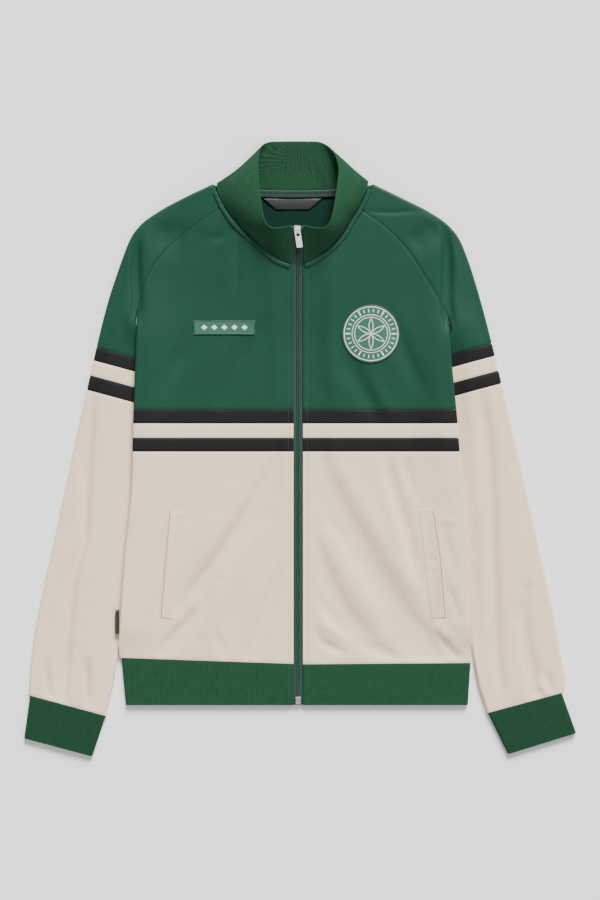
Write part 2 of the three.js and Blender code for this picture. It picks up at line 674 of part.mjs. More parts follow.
function addCloth(name, grid, material, facing, probe, squareFirst) {
  grids[name] = grid;
  return addMesh(name, wallFromGrid(grid, WALL, facing, probe, squareFirst), material);
}

const BANDS = [
  { name: 'band_top', material: MATERIALS.blackTricot },
  { name: 'band_mid', material: MATERIALS.creamTricot },
  { name: 'band_low', material: MATERIALS.blackTricot },
];

// Fronts: an upper panel to the neck, three stripe bands and a lower panel to the rib hem.
function buildFront(side) {
  const { below, beside, above } = upperRows(side);
  const upper = [
    ...below.map((y) => frontRow(side, () => y, false)),
    ...[...beside, ...above].map((y) => frontRow(side, () => y, true)),
  ];
  addCloth(`front_upper_${side.name}`, upper, MATERIALS.greenTricot, UP, 2);
  BANDS.forEach((band, i) => {
    const heights = spread(BAND_SEAMS[i] - SEAM / 2, BAND_SEAMS[i + 1] + SEAM / 2, 1);
    const rows = heights.map((y) => frontRow(side, () => y, false));
    addCloth(`front_${band.name}_${side.name}`, rows, band.material, UP, 2);
  });
  const lower = LOWER_ROWS.map((t) => frontRow(side, (out) => lowerRowY(side, t, out), false));
  addCloth(`front_lower_${side.name}`, lower, MATERIALS.creamTricot, UP, 2);
}

// Back: the same five pieces, flat on the surface except where its sides lie over the sleeves.
function buildBack() {
  const rowOf = (heights) => (side) => heights[SIDES.indexOf(side)];
  const belows = SIDES.map((side) => upperRows(side).below);
  const besides = SIDES.map((side) => backRaglanYs(side).reverse().slice(1));
  const count = besides[0].length;
  const dipOf = (row) => {
    const part = Math.max(0, (row + 1 + NECK_DIP.rows - count) / NECK_DIP.rows);
    return (x) => part * NECK_DIP.depth * Math.min(0, ((x - NECK.x) / NECK_DIP.halfWidth) ** 2 - 1);
  };
  const upper = [
    ...belows[0].map((y, i) => backRow(rowOf([y, belows[1][i]]), false, level)),
    ...besides[0].map((y, i) => backRow(rowOf([y, besides[1][i]]), true, dipOf(i))),
  ];
  addCloth('back_upper', upper, MATERIALS.greenTricot, DOWN, 9);
  BANDS.forEach((band, i) => {
    const heights = spread(BAND_SEAMS[i] - SEAM / 2, BAND_SEAMS[i + 1] + SEAM / 2, 1);
    const rows = heights.map((y) => backRow(() => y, false, level));
    addCloth(`back_${band.name}`, rows, band.material, DOWN, 9);
  });
  const lower = LOWER_ROWS.map((t) => backRow((side, out) => lowerRowY(side, t, out), false, level));
  addCloth('back_lower', lower, MATERIALS.creamTricot, DOWN, 9);
}

// Sleeves: an upper panel from the neck, three stripe bands, a lower panel and a rib cuff.
function buildSleeve(side) {
  const seams = side.sleeveSeams;
  const shoulder = raglanRows(side);
  const armpitOuterY = shoulder.at(-1).outer[1];
  const upper = [
    ...shoulder.map((row) => sleeveRow(side, row)),
    ...spread(armpitOuterY, seams[0] + SEAM / 2, 5).slice(1).map((y) => tubeRow(side, y)),
  ];
  addCloth(`sleeve_upper_${side.name}`, upper, MATERIALS.greenTricot, UP, 4, false);
  BANDS.forEach((band, i) => {
    const heights = spread(seams[i] - SEAM / 2, seams[i + 1] + SEAM / 2, 1);
    const rows = heights.map((y) => tubeRow(side, y));
    addCloth(`sleeve_${band.name}_${side.name}`, rows, band.material, UP, 4);
  });
  const lower = spread(seams[3] - SEAM / 2, seams[4], 10).map((y) => tubeRow(side, y));
  addCloth(`sleeve_lower_${side.name}`, lower, MATERIALS.creamTricot, UP, 4);
}

// A cuff starts at the sleeve's end, a little narrower than it, and runs to its own lower edge.
function buildCuff(side) {
  const { outer, inner } = sleeveEnds(side, side.sleeveSeams[4]);
  const across = outer.clone().sub(inner).normalize();
  const down = new THREE.Vector2(across.y, -across.x).multiplyScalar(1.5 * SEAM);
  const top = {
    outer: outer.clone().addScaledVector(across, -CUFF_TUCK).add(down),
    inner: inner.clone().addScaledVector(across, CUFF_TUCK).add(down),
  };
  const bottomOuter = new THREE.Vector2(...side.cuff.outer);
  const bottomInner = new THREE.Vector2(...side.cuff.inner);
  const rows = steps(3).map((t) => {
    const edge = top.inner.clone().lerp(bottomInner, t).toArray();
    const fold = top.outer.clone().lerp(bottomOuter, t).toArray();
    return sleeveRow(side, { front: edge, outer: fold, back: edge, closed: 1 });
  });
  addCloth(`cuff_${side.name}`, rows, MATERIALS.greenRib, UP, 4);
}

// Rib hem: one band from the left front edge round the back to the right front edge.
function buildHem() {
  const rowAt = (t) => {
    const halves = SIDES.map((side) => {
      const outer = lerp(side.hemCorner.x, side.hemBottomX, t);
      const height = (out) => lerp(hemSeamY(side, out) - SEAM / 2, HEM_BOTTOM, t);
      const point = (out, z) => new THREE.Vector3(side.sign * out, height(out), z);
      const flat = spread(side.zipEdge, outer - FOLD_RADIUS, 6).slice(0, -1);
      const front = flat.map((out) => point(out, LAY));
      const fold = spread(Math.PI / 2, -Math.PI / 2, SLEEVE_FOLD_STEPS).map((angle) =>
        point(outer - FOLD_RADIUS * (1 - Math.cos(angle)), FOLD_RADIUS * (1 + Math.sin(angle))));
      const base = spread(outer - FOLD_RADIUS, 0, 4).slice(1, -1).map((out) => point(out, 0));
      return [...front, ...fold, ...base];
    });
    const middle = new THREE.Vector3(0, lerp(HEM_SEAM - SEAM / 2, HEM_BOTTOM, t), 0);
    return [...halves[0], middle, ...halves[1].reverse()];
  };
  addCloth('hem_rib', steps(3).map(rowAt), MATERIALS.greenRib, UP, 3);
}

// Collar sections: smooth between the stations, and bowed outward a little at the front and sides.
function collarGrid() {
  const track = (keys) => new THREE.CatmullRomCurve3(
    COLLAR_STATIONS.map((row) => new THREE.Vector3(row[keys[0]], row[keys[1]], row[keys[2]])),
    false, 'centripetal');
  const seam = track(['seamX', 'seamY', 'seamZ']);
  const top = track(['topX', 'topY', 'topZ']);
  const stations = spread(0, 1, COLLAR_COLUMNS);
  const straight = spread(0, 1, COLLAR_ROWS).map((t) =>
    stations.map((s) => seam.getPoint(s).lerp(top.getPoint(s), t)));
  const normals = gridNormals(straight, UP, 2);
  return straight.map((row, r) => row.map((point, c) => {
    const bow = COLLAR_BULGE * Math.sin((Math.PI * r) / COLLAR_ROWS) * smoothstep(point.z, ...COLLAR_STANDS);
    const atZip = smoothstep(Math.min(c, row.length - 1 - c), 0, 4);
    return point.clone().addScaledVector(normals[r][c], bow * atZip);
  }));
}

function buildCollar() {
  const grid = collarGrid();
  const normals = gridNormals(grid, UP, 2);
  const half = COLLAR_WALL / 2;
  grids.collar = grid;
  const wall = shellGeometry(moved(grid, normals, half), moved(grid, normals, -half));
  addMesh('collar', wall, MATERIALS.greenRib);
}

const stripBase = ({ x, y }) => LAY + neckRise(x, y) + Math.max(0, relief(x, y));

// A narrow strip lies over the neck seam, on the front and the shoulder, from the zip to the shoulder's back.
function buildNeckStrip(side) {
  const rows = COLLAR_STATIONS.filter((row) => row.seamX * side.sign > 0 && row.seamZ > STRIP.lowest);
  if (side === RIGHT) rows.reverse();
  const line = new THREE.CatmullRomCurve3(rows.map((row) => new THREE.Vector3(row.seamX, row.seamY, 0)));
  const grid = spread(0, STRIP.part, STRIP.rows).map((t) => {
    const point = line.getPoint(t);
    const run = line.getTangent(t);
    const out = new THREE.Vector3(run.y, -run.x, 0).multiplyScalar(side.sign);
    return STRIP.across.map((distance) => {
      const place = point.clone().addScaledVector(out, distance);
      return place.setZ(stripBase(place) + STRIP.gap);
    });
  });
  addMesh(`neck_strip_${side.name}`, shellGeometry(grid, lifted(grid, TRIM_WALL)), MATERIALS.greenTricot);
}

// A flat solid from an outline in plan, between two heights.
function plate(outline, low, wall) {
  const shape = new THREE.Shape(outline.map(([x, y]) => new THREE.Vector2(x, y)));
  return new THREE.ExtrudeGeometry(shape, { depth: wall, bevelEnabled: false }).translate(0, 0, low);
}

function rectangle({ x, y, width, length }) {
  const [left, right, low, high] = [x - width / 2, x + width / 2, y - length / 2, y + length / 2];
  return [[left, low], [right, low], [right, high], [left, high]];
}

function toManifold(geometry) {
  const bare = geometry.clone();
  bare.deleteAttribute('normal');
  bare.deleteAttribute('uv');
  const merged = mergeVertices(bare, 1e-4);
  return new wasm.Manifold(new wasm.Mesh({
    numProp: 3,
    vertProperties: merged.attributes.position.array,
    triVerts: Uint32Array.from(merged.index.array),
  }));
}

function fromManifold(solid) {
  const mesh = solid.getMesh();
  const geometry = new THREE.BufferGeometry();
  geometry.setAttribute('position', new THREE.BufferAttribute(mesh.vertProperties, 3));
  geometry.setIndex(new THREE.BufferAttribute(mesh.triVerts, 1));
  geometry.computeVertexNormals();
  return geometry;
}

// A piece sewn onto a panel: the panel's own upper face moved up, cut to the piece's outline.
function sewnOn(panelName, outline) {
  const panel = grids[panelName];
  const slab = shellGeometry(lifted(panel, SEAM), lifted(panel, SEAM + TRIM_WALL));
  const cutter = plate(outline, 0, 60);
  return fromManifold(toManifold(slab).intersect(toManifold(cutter)));
}

function buildPatches() {
  addMesh('chest_patch', sewnOn('front_upper_left', rectangle(CHEST_PATCH)), MATERIALS.embroidery);
  const disc = steps(32).slice(1).map((t) => {
    const angle = t * 2 * Math.PI;
    return [CREST.x + CREST.radius * Math.cos(angle), CREST.y + CREST.radius * Math.sin(angle)];
  });
  addMesh('crest_patch', sewnOn('front_upper_right', disc), MATERIALS.embroidery);
  addMesh('pocket_welt_left', sewnOn('front_lower_left', WELTS.left), MATERIALS.creamTricot);
  addMesh('pocket_welt_right', sewnOn('front_lower_right', WELTS.right), MATERIALS.creamTricot);
}

// Inside the neck: a tape over the back neck seam and a satin label. A small label is in a side seam.
function buildLabels() {
  const tapeLow = (x) => NECK_TAPE.y + NECK_TAPE.sag * ((x - NECK_TAPE.middle) / NECK_TAPE.halfWidth) ** 2;
  const along = spread(NECK_TAPE.left, NECK_TAPE.right, 12);
  const grid = [0, NECK_TAPE.width].map((up) =>
    along.map((x) => new THREE.Vector3(x, tapeLow(x) + up, WALL + SEAM)));
  addMesh('neck_tape', shellGeometry(grid, lifted(grid, TRIM_WALL)), MATERIALS.greenTricot);
  addMesh('neck_label', plate(NECK_LABEL, WALL + SEAM, LABEL_WALL), MATERIALS.blackSatin);
  addMesh('side_label', plate(rectangle(SIDE_LABEL), SIDE_LABEL.low, TRIM_WALL), MATERIALS.blackSatin);
}

// Height of the middle of the zip tape: under the front edges, then under the collar's slope.
function tapeHeight(y) {
  const bodyTop = frontTop(ZIP_X, Math.min(y, 248)) - TAPE.below;
  const collarMiddle = COLLAR_FRONT.seamZ + (y - COLLAR_FRONT.seamY) * Math.tan(COLLAR_SLOPE);
  return Math.max(bodyTop, collarMiddle - TAPE.belowCollar);
}

const ZIP_ROWS = [...spread(HEM_BOTTOM + 12, 190, 12), ...spread(201, 247.8, 4), ...spread(250.5, 299, 4)];

function zipStrip(columns, offset, wall, from, to) {
  const ys = ZIP_ROWS.filter((y) => y > from + 1 && y < to - 1);
  const grid = [from, ...ys, to].map((y) =>
    columns.map((x) => new THREE.Vector3(x, y, tapeHeight(y) + offset)));
  return shellGeometry(grid, lifted(grid, wall));
}

function buildZip() {
  const tape = (columns) => zipStrip(columns, -TAPE.wall / 2, TAPE.wall, TAPE.low, TAPE.high);
  addMesh('zip_tape_left', tape([ZIP_X - TAPE.width, ZIP_X - SEAM / 2]), MATERIALS.zipGreen);
  addMesh('zip_tape_right', tape([ZIP_X + SEAM / 2, ZIP_X + TAPE.width]), MATERIALS.zipGreen);
  const chainColumns = [ZIP_X - CHAIN.width / 2, ZIP_X + CHAIN.width / 2];
  const chainBase = TAPE.wall / 2 + SEAM;
  const chainLow = BOX.y + BOX.length / 2 + SEAM;
  const chainHigh = SLIDER.y - SLIDER.length / 2 - SEAM;
  const chain = zipStrip(chainColumns, chainBase, CHAIN.wall, chainLow, chainHigh);
  addMesh('zip_chain', chain, MATERIALS.zipGreen);
  const box = plate(rectangle(BOX), LAY - TAPE.below + chainBase, BOX.wall);
  addMesh('zip_box', box, MATERIALS.nickel);
  buildSlider();
}

const inPlane = (points) => points.map(([x, y]) => new THREE.Vector2(x, y));

// The slider's arch, a bar on two legs along the zip, sunk a little into the slider's body.
function archGeometry() {
  const { width, length, height, bar, leg, bevel, sunk } = ARCH;
  const [bevelAlong, bevelDown] = bevel;
  const side = new THREE.Shape(inPlane([
    [0, 0],
    [length, 0],
    [length, height - bevelDown],
    [length - bevelAlong, height],
    [bevelAlong, height],
    [0, height - bevelDown],
  ]));
  const opening = [[leg, sunk], [leg, height - bar], [length - leg, height - bar], [length - leg, sunk]];
  side.holes.push(new THREE.Path(inPlane(opening)));
  const arch = new THREE.ExtrudeGeometry(side, { depth: width, bevelEnabled: false });
  arch.translate(-length / 2, 0, -width / 2);
  const across = new THREE.Vector3(1, 0, 0);
  const along = new THREE.Vector3(0, 1, 0);
  arch.applyMatrix4(new THREE.Matrix4().makeBasis(along, UP, across));
  return arch.translate(0, 0, SLIDER.wall - sunk).rotateZ(degToRad(PULL.lean));
}

// The slider sits on the tapes at the collar's top. Its arch holds the pull tab's bar, where the tab swings.
function buildSlider() {
  const seat = new THREE.Group();
  const onTape = (TAPE.wall / 2 + SEAM) / Math.cos(COLLAR_SLOPE);
  seat.position.set(SLIDER.x, SLIDER.y, tapeHeight(SLIDER.y) + onTape);
  seat.rotation.x = COLLAR_SLOPE;
  root.add(seat);

  const { length, topWidth, lowWidth, wall } = SLIDER;
  const body = plate([
    [-lowWidth / 2, -length / 2],
    [lowWidth / 2, -length / 2],
    [topWidth / 2, 0],
    [topWidth / 2, length / 2],
    [-topWidth / 2, length / 2],
    [-topWidth / 2, 0],
  ], 0, wall);
  const slider = toManifold(body).add(toManifold(archGeometry()));
  addMesh('zip_slider', fromManifold(slider), MATERIALS.nickel, seat);

  const lean = new THREE.Group();
  lean.rotation.z = degToRad(PULL.lean);
  seat.add(lean);
  const hinge = new THREE.Group();
  const opening = ARCH.height - ARCH.bar - ARCH.sunk;
  hinge.position.set(0, -ARCH.length / 2 + ARCH.leg + ARCH.hinge, wall + opening / 2);
  hinge.rotation.x = degToRad(PULL.droop);
  lean.add(hinge);
  addMesh('zip_pull', pullGeometry(), MATERIALS.nickel, hinge);
}

// A flat tab hanging from its bar at the origin, with a slot below the bar and a plain recess.
function pullGeometry() {
  const { topCorner, lowCorner, wall } = PULL;
  const half = PULL.width / 2;
  const top = PULL.bar / 2;
  const low = top - PULL.length;
  const outline = new THREE.Shape(inPlane([
    [half - topCorner, top],
    [half, top - topCorner],
    [half, low + lowCorner],
    [half - lowCorner, low],
    [lowCorner - half, low],
    [-half, low + lowCorner],
    [-half, top - topCorner],
    [topCorner - half, top],
  ]));
  const slotTop = -PULL.bar / 2;
  const slotLow = slotTop - PULL.slotLength;
  const slotHalf = PULL.slotWidth / 2;
  const slot = [[-slotHalf, slotTop], [-slotHalf, slotLow], [slotHalf, slotLow], [slotHalf, slotTop]];
  outline.holes.push(new THREE.Path(inPlane(slot)));
  const body = new THREE.ExtrudeGeometry(outline, { depth: wall, bevelEnabled: false });
  body.translate(0, 0, -wall / 2);
  const { halfWidth, margin, depth } = PULL.recess;
  const [recessLow, recessHigh] = [low + margin, slotLow - margin];
  const recess = [
    [-halfWidth, recessLow],
    [halfWidth, recessLow],
    [halfWidth, recessHigh],
    [-halfWidth, recessHigh],
  ];
  const cutter = plate(recess, wall / 2 - depth, wall);
  return fromManifold(toManifold(body).subtract(toManifold(cutter)));
}

for (const side of SIDES) buildFront(side);
buildBack();
for (const side of SIDES) buildSleeve(side);
for (const side of SIDES) buildCuff(side);
buildHem();
buildCollar();
for (const side of SIDES) buildNeckStrip(side);
buildPatches();
buildLabels();
buildZip();

export default root;
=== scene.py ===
import math

import bmesh
import bpy
import numpy as np
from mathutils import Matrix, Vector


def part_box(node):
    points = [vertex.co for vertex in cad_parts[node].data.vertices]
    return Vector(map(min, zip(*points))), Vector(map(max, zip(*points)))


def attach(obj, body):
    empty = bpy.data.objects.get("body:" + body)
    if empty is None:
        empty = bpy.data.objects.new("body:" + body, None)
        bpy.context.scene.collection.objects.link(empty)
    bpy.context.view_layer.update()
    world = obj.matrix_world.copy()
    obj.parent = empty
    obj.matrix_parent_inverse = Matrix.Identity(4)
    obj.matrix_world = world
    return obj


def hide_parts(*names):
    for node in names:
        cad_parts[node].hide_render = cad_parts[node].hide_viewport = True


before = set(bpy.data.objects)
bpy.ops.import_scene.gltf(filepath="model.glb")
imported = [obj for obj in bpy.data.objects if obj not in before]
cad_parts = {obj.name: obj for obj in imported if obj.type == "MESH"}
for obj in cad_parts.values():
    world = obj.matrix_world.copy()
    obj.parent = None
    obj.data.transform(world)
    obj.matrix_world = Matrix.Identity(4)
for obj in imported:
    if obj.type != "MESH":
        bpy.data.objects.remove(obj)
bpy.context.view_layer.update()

# Camera and stage. The jacket lies on a plain pale floor under a wide soft light, and the camera looks
# straight down on it from the photograph's place.
CAMERA_DISTANCE = 2.5
PICTURE_HEIGHT = 1.215
PICTURE_MIDDLE_Y = -0.00135
CLOTH_LEVEL = 0.008
SENSOR = 36.0
FLOOR_WHITE = (0.93, 0.93, 0.93, 1.0)
KEY_STRENGTH = 8.2
KEY_SPREAD = 26.0
KEY_TILT = -58.0
KEY_TURN = -13.0
FILL_TILT = 60.0
FILL_TURN = 14.0
FILL_STRENGTH = 1.3
SKY_STRENGTH = 0.42


def add_camera():
    data = bpy.data.cameras.new("camera")
    data.sensor_width = SENSOR
    data.lens = SENSOR * CAMERA_DISTANCE / PICTURE_HEIGHT
    camera = bpy.data.objects.new("camera", data)
    camera.location = (0.0, PICTURE_MIDDLE_Y, CLOTH_LEVEL + CAMERA_DISTANCE)
    bpy.context.scene.collection.objects.link(camera)
    bpy.context.scene.camera = camera


def add_key_light():
    """A large soft light over the neck end, a little to the right."""
    data = bpy.data.lights.new("key", "SUN")
    data.energy = KEY_STRENGTH
    data.angle = math.radians(KEY_SPREAD)
    key = bpy.data.objects.new("key", data)
    key.rotation_euler = (math.radians(KEY_TILT), 0.0, math.radians(KEY_TURN))
    key.location = (-0.5, 1.5, 1.5)
    bpy.context.scene.collection.objects.link(key)


def add_fill_light():
    """A weak, very wide light from the hem end."""
    data = bpy.data.lights.new("fill", "SUN")
    data.energy = FILL_STRENGTH
    data.angle = math.radians(70.0)
    fill = bpy.data.objects.new("fill", data)
    fill.rotation_euler = (math.radians(FILL_TILT), 0.0, math.radians(FILL_TURN))
    fill.location = (0.4, -1.5, 1.0)
    bpy.context.scene.collection.objects.link(fill)


def add_floor():
    mesh = bpy.data.meshes.new("floor")
    half = 4.0
    mesh.from_pydata([(-half, -half, 0), (half, -half, 0), (half, half, 0), (-half, half, 0)], [],
                     [(0, 1, 2, 3)])
    floor = bpy.data.objects.new("floor", mesh)
    bpy.context.scene.collection.objects.link(floor)
    material = bpy.data.materials.new("floor_paper")
    material.use_nodes = True
    shader = material.node_tree.nodes["Principled BSDF"]
    shader.inputs["Base Color"].default_value = FLOOR_WHITE
    shader.inputs["Roughness"].default_value = 0.9
    mesh.materials.append(material)


def add_daylight():
    world = bpy.data.worlds.new("studio")
    world.use_nodes = True
    background = world.node_tree.nodes["Background"]
    background.inputs["Color"].default_value = (1.0, 1.0, 1.0, 1.0)
    background.inputs["Strength"].default_value = SKY_STRENGTH
    bpy.context.scene.world = world


add_camera()
add_floor()
add_daylight()
add_key_light()
add_fill_light()

# Fronts. Each front is cut from smooth tricot as a green upper panel, three stripe bands and a cream lower
# panel, seamed edge to edge. The outlines are read from the frame; heights follow how the cloth lies.
LAY = 7.2
FOLD_RADIUS = LAY / 2
RISE = 7.5
RISE_RUN = 18.0
FRONT_RISE_RUN = 56.0
FRONT_RISE_TOP = (-70.0, 50.0)
FRONT_RISE_BOTTOM = (-284.0, -234.0)
HEM_SLANTS = (0.0373, 0.0087)
HEM_MIDDLE_Y = -291.0
RISE_BETWEEN = (-225.0, 143.0)
CLOTH = 1.2
SEAM = 0.3
GRAIN = 3.0
ZIP_X = -2.4
NECK_X, NECK_Y = -8.5, 358.0
NECK_HALF_WIDTH, NECK_HALF_LENGTH = 102.5, 108.0
NECK_RISE = 7.0
SIGN = {"left": -1.0, "right": 1.0}
ARMPIT = {"left": 187.7, "right": 177.3}
NECK_CORNER = {"left": 247.8, "right": 248.4}
BANDS = ("band_top", "band_mid", "band_low")


def smoothstep(value, low, high):
    t = np.clip((value - low) / (high - low), 0.0, 1.0)
    return t * t * (3.0 - 2.0 * t)


def lerp(a, b, t):
    return a + (b - a) * t


def curve(places, values):
    """A smooth curve through the points, without overshooting between them."""
    order = np.argsort(places)
    x, y = np.asarray(places, float)[order], np.asarray(values, float)[order]
    rise = np.diff(y) / np.diff(x)
    before, after = rise[:-1], rise[1:]
    both = before * after
    inner = np.where(both > 0, 2 * both / np.where(before + after == 0, 1, before + after), 0.0)
    slope = np.concatenate([rise[:1], inner, rise[-1:]])

    def read(at):
        at = np.clip(at, x[0], x[-1])
        i = np.clip(np.searchsorted(x, at) - 1, 0, len(x) - 2)
        span = x[i + 1] - x[i]
        t = (at - x[i]) / span
        ease = t * t * (3 - 2 * t)
        bend = slope[i] * t * (1 - t) ** 2 - slope[i + 1] * t * t * (1 - t)
        return lerp(y[i], y[i + 1], ease) + span * bend

    return read


def node_edges(names):
    """Both ends of every edge in the named CAD nodes, in millimetres."""
    found = []
    for name in names:
        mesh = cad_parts[name].data
        points = np.empty(len(mesh.vertices) * 3)
        mesh.vertices.foreach_get("co", points)
        pairs = np.empty(len(mesh.edges) * 2, int)
        mesh.edges.foreach_get("vertices", pairs)
        found.append(points.reshape(-1, 3)[pairs.reshape(-1, 2)] * 1000.0)
    return np.concatenate(found)


def reach(names, side, low, high, pick=np.max, count=26):
    """A curve of how far the named nodes reach from the centre line, by height up the jacket."""
    ends = node_edges(names)
    places, values = [], []
    for y in np.linspace(low, high, count):
        a, b = ends[:, 0], ends[:, 1]
        crossing = (a[:, 1] - y) * (b[:, 1] - y) < 0
        if crossing.any():
            a, b = a[crossing], b[crossing]
            t = (y - a[:, 1]) / (b[:, 1] - a[:, 1])
            places.append(y)
            values.append(pick(SIGN[side] * (a[:, 0] + t * (b[:, 0] - a[:, 0]))))
    return curve(places, values)


def span_y(name):
    low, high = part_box(name)
    return low.y * 1000.0, high.y * 1000.0


BODY_EDGE, RAGLAN, NECK_EDGE, SLEEVE_INNER, SLEEVE_OUTER = {}, {}, {}, {}, {}
for side in SIGN:
    body = [f"front_lower_{side}"] + [f"front_{band}_{side}" for band in BANDS] + [f"front_upper_{side}"]
    sleeve = [f"sleeve_lower_{side}"] + [f"sleeve_{band}_{side}" for band in BANDS] + [f"sleeve_upper_{side}"]
    tip = span_y(f"front_upper_{side}")[1]
    BODY_EDGE[side] = reach(body, side, -280.0, ARMPIT[side] - 1.0)
    RAGLAN[side] = reach([f"front_upper_{side}"], side, ARMPIT[side], tip - 0.4)
    NECK_EDGE[side] = reach([f"front_upper_{side}"], side, NECK_CORNER[side] + 1.0, tip - 0.4, np.min)
    SLEEVE_INNER[side] = reach(sleeve, side, -352.0, ARMPIT[side] - 1.0, np.min, 34)
    SLEEVE_OUTER[side] = reach(sleeve, side, -331.0, 357.5, np.max, 40)

# Air inside the laid cloth: middle, half width and length, and height of each soft mound.
SWELLS = (
    (-115, 140, 62, 70, 2.6), (100, 140, 58, 70, 2.6), (-120, -150, 66, 95, 4.2), (118, -150, 66, 95, 4.2),
    (-205, 265, 34, 60, 3.0), (185, 262, 34, 60, 3.0), (-255, 90, 26, 90, 2.4), (240, 90, 26, 90, 2.4),
    (-290, -140, 40, 150, 3.2), (278, -140, 40, 150, 3.2),
)
# Folds: height, width on the left and on the right of the bent line, and its points, followed down the
# jacket. Troughs are negative.
FOLDS = (
    (-6.5, 8, 24,
     ((-14, 18), (-30, -17), (-51, -53), (-81, -102), (-108, -143), (-134, -176), (-158, -212))),
    (2.6, 16, 12, ((-76, -36), (-102, -86), (-126, -124), (-150, -158))),
    (2.8, 14, 16, ((-56, -112), (-88, -160), (-112, -200), (-128, -240))),
    (-4.8, 7, 13, ((-112, -180), (-133, -214), (-166, -249), (-190, -279))),
    (1.8, 10, 8, ((-134, -190), (-158, -226), (-180, -250))),
    (-2.6, 10, 14, ((-47, -112), (-70, -160), (-86, -205), (-98, -262))),
    (-4.4, 5, 10, ((-16, -134), (-37, -190), (-51, -231), (-61, -258), (-74, -286))),
    (1.6, 8, 6, ((-30, -134), (-52, -190), (-66, -231))),
    (-1.8, 12, 12, ((-46, -78), (-50, -102))),
    (-1.4, 6, 6, ((-192, -66), (-199, -150), (-203, -205))),
    (-1.3, 5, 6, ((-210, -140), (-215, -222))),
    (-1.2, 7, 7, ((-140, -62), (-150, -84), (-151, -104))),
    (-2.0, 5, 6, ((-114, -246), (-104, -280))),
    (-6.4, 26, 21, ((6, 14), (14, -16), (47, -80), (82, -134), (114, -188), (143, -238), (172, -282))),
    (2.8, 16, 18, ((44, -6), (78, -70), (112, -122), (146, -178), (166, -214))),
    (2.8, 18, 16, ((20, -96), (52, -146), (84, -196), (116, -240))),
    (-4.6, 14, 13, ((4, -88), (22, -140), (42, -188), (58, -220), (86, -252), (112, -272))),
    (-3.4, 7, 6, ((6, -166), (22, -197), (38, -220), (60, -244))),
    (1.6, 6, 6, ((8, -204), (30, -236), (60, -258))),
    (-3.8, 6, 5, ((5, -232), (30, -262), (60, -276))),
    (-3.4, 6, 5, ((4, -254), (26, -284))),
    (-4.0, 8, 6, ((84, -262), (112, -274), (134, -282))),
    (-4.6, 7, 10, ((112, -6), (130, -66), (143, -110), (152, -152), (160, -176))),
    (2.0, 9, 5, ((112, -50), (130, -104), (144, -152))),
    (-2.8, 6, 8, ((138, -8), (154, -64))),
    (-5.6, 10, 8, ((152, -234), (172, -262), (188, -288))),
    (-4.2, 6, 8, ((188, -254), (202, -270), (218, -288))),
    (2.4, 6, 7, ((180, -232), (200, -258), (214, -280))),
    (1.4, 5, 5, ((190, -94), (224, -103))),
    (-1.6, 6, 6, ((194, -112), (212, -170))),
    (-2.2, 6, 5, ((200, -186), (220, -234))),
    (-0.8, 2.2, 2.2, ((166, -149), (186, -150))),
    (-0.9, 2.2, 2.2, ((168, -165), (187, -166))),
    (-9.0, 5, 7, ((-222, 296), (-223, 245), (-221, 200), (-224, 150))),
    (-3.2, 24, 14, ((-200, 298), (-176, 290), (-150, 292))),
    (-9.0, 6, 7, ((198, 298), (198, 245), (197, 200), (204, 140))),
    (-3.0, 20, 12, ((146, 276), (168, 290), (190, 303))),
    (-1.2, 3, 3, ((90, 320), (128, 319), (160, 322))),
    (-2.2, 14, 14, ((-96, 296), (-124, 205), (-152, 135), (-184, 92))),
    (-2.6, 13, 12, ((-62, 156), (-98, 88), (-114, 44))),
    (2.2, 11, 11, ((-34, 222), (-31, 140), (-28, 52))),
    (-1.6, 6, 6, ((-92, 300), (-104, 286), (-122, 284))),
    (-1.6, 5, 5, ((-80, 284), (-84, 244), (-86, 210))),
    (2.6, 12, 12, ((45, 246), (41, 150), (46, 56))),
    (-3.0, 14, 13, ((60, 132), (84, 86), (106, 40))),
    (-2.2, 12, 10, ((118, 192), (146, 122), (172, 66))),
    (1.6, 9, 9, ((92, 98), (122, 46))),
    (-1.8, 5, 4, ((8, 250), (18, 238))),
    (-6.0, 8, 7, ((-283, 70), (-289, -42), (-292, -123), (-308, -178), (-316, -258), (-322, -345))),
    (-4.5, 5, 5, ((-290, -286), (-287, -352))),
    (-3.6, 4, 4, ((-275, -318), (-270, -362))),
    (-3.0, 5, 4, ((-344, -290), (-337, -350))),
    (2.0, 10, 9, ((-272, -262), (-277, -320))),
    (-5.0, 10, 8, ((245, 72), (254, -1), (259, -96), (262, -204), (265, -285), (270, -352))),
    (-6.0, 7, 9, ((306, -190), (299, -231), (305, -273), (314, -312), (320, -345))),
    (3.0, 5, 5, ((322, -312), (338, -340))),
    (-3.0, 4, 4, ((332, -300), (344, -340))),
)
DEEPEST_TROUGH = -3.6


def fold_height(x, y, folds):
    """The folds' heights together. Each fades out over the first and the last part of its line."""
    total = np.zeros_like(x)
    for height, left, right, line in folds:
        nearest = np.full_like(x, 1e9)
        place = np.zeros_like(x)
        width = np.ones_like(x)
        lengths = [math.dist(a, b) for a, b in zip(line[:-1], line[1:])]
        for i, ((x1, y1), (x2, y2)) in enumerate(zip(line[:-1], line[1:])):
            along = ((x - x1) * (x2 - x1) + (y - y1) * (y2 - y1)) / lengths[i]
            across = ((x - x1) * (y2 - y1) - (y - y1) * (x2 - x1)) / lengths[i]
            distance = np.hypot(across, along - np.clip(along, 0.0, lengths[i]))
            closer = distance < nearest
            nearest = np.where(closer, distance, nearest)
            place = np.where(closer, sum(lengths[:i]) + np.clip(along, 0.0, lengths[i]), place)
            width = np.where(closer, lerp(right, left, smoothstep(across, -0.4 * right, 0.4 * left)), width)
        fade = min(40.0, 0.3 * sum(lengths))
        ends = lerp(0.35, 1.0, smoothstep(np.minimum(place, sum(lengths) - place), 0.0, fade))
        total += height * ends * np.exp(-((nearest / width) ** 2))
    return total


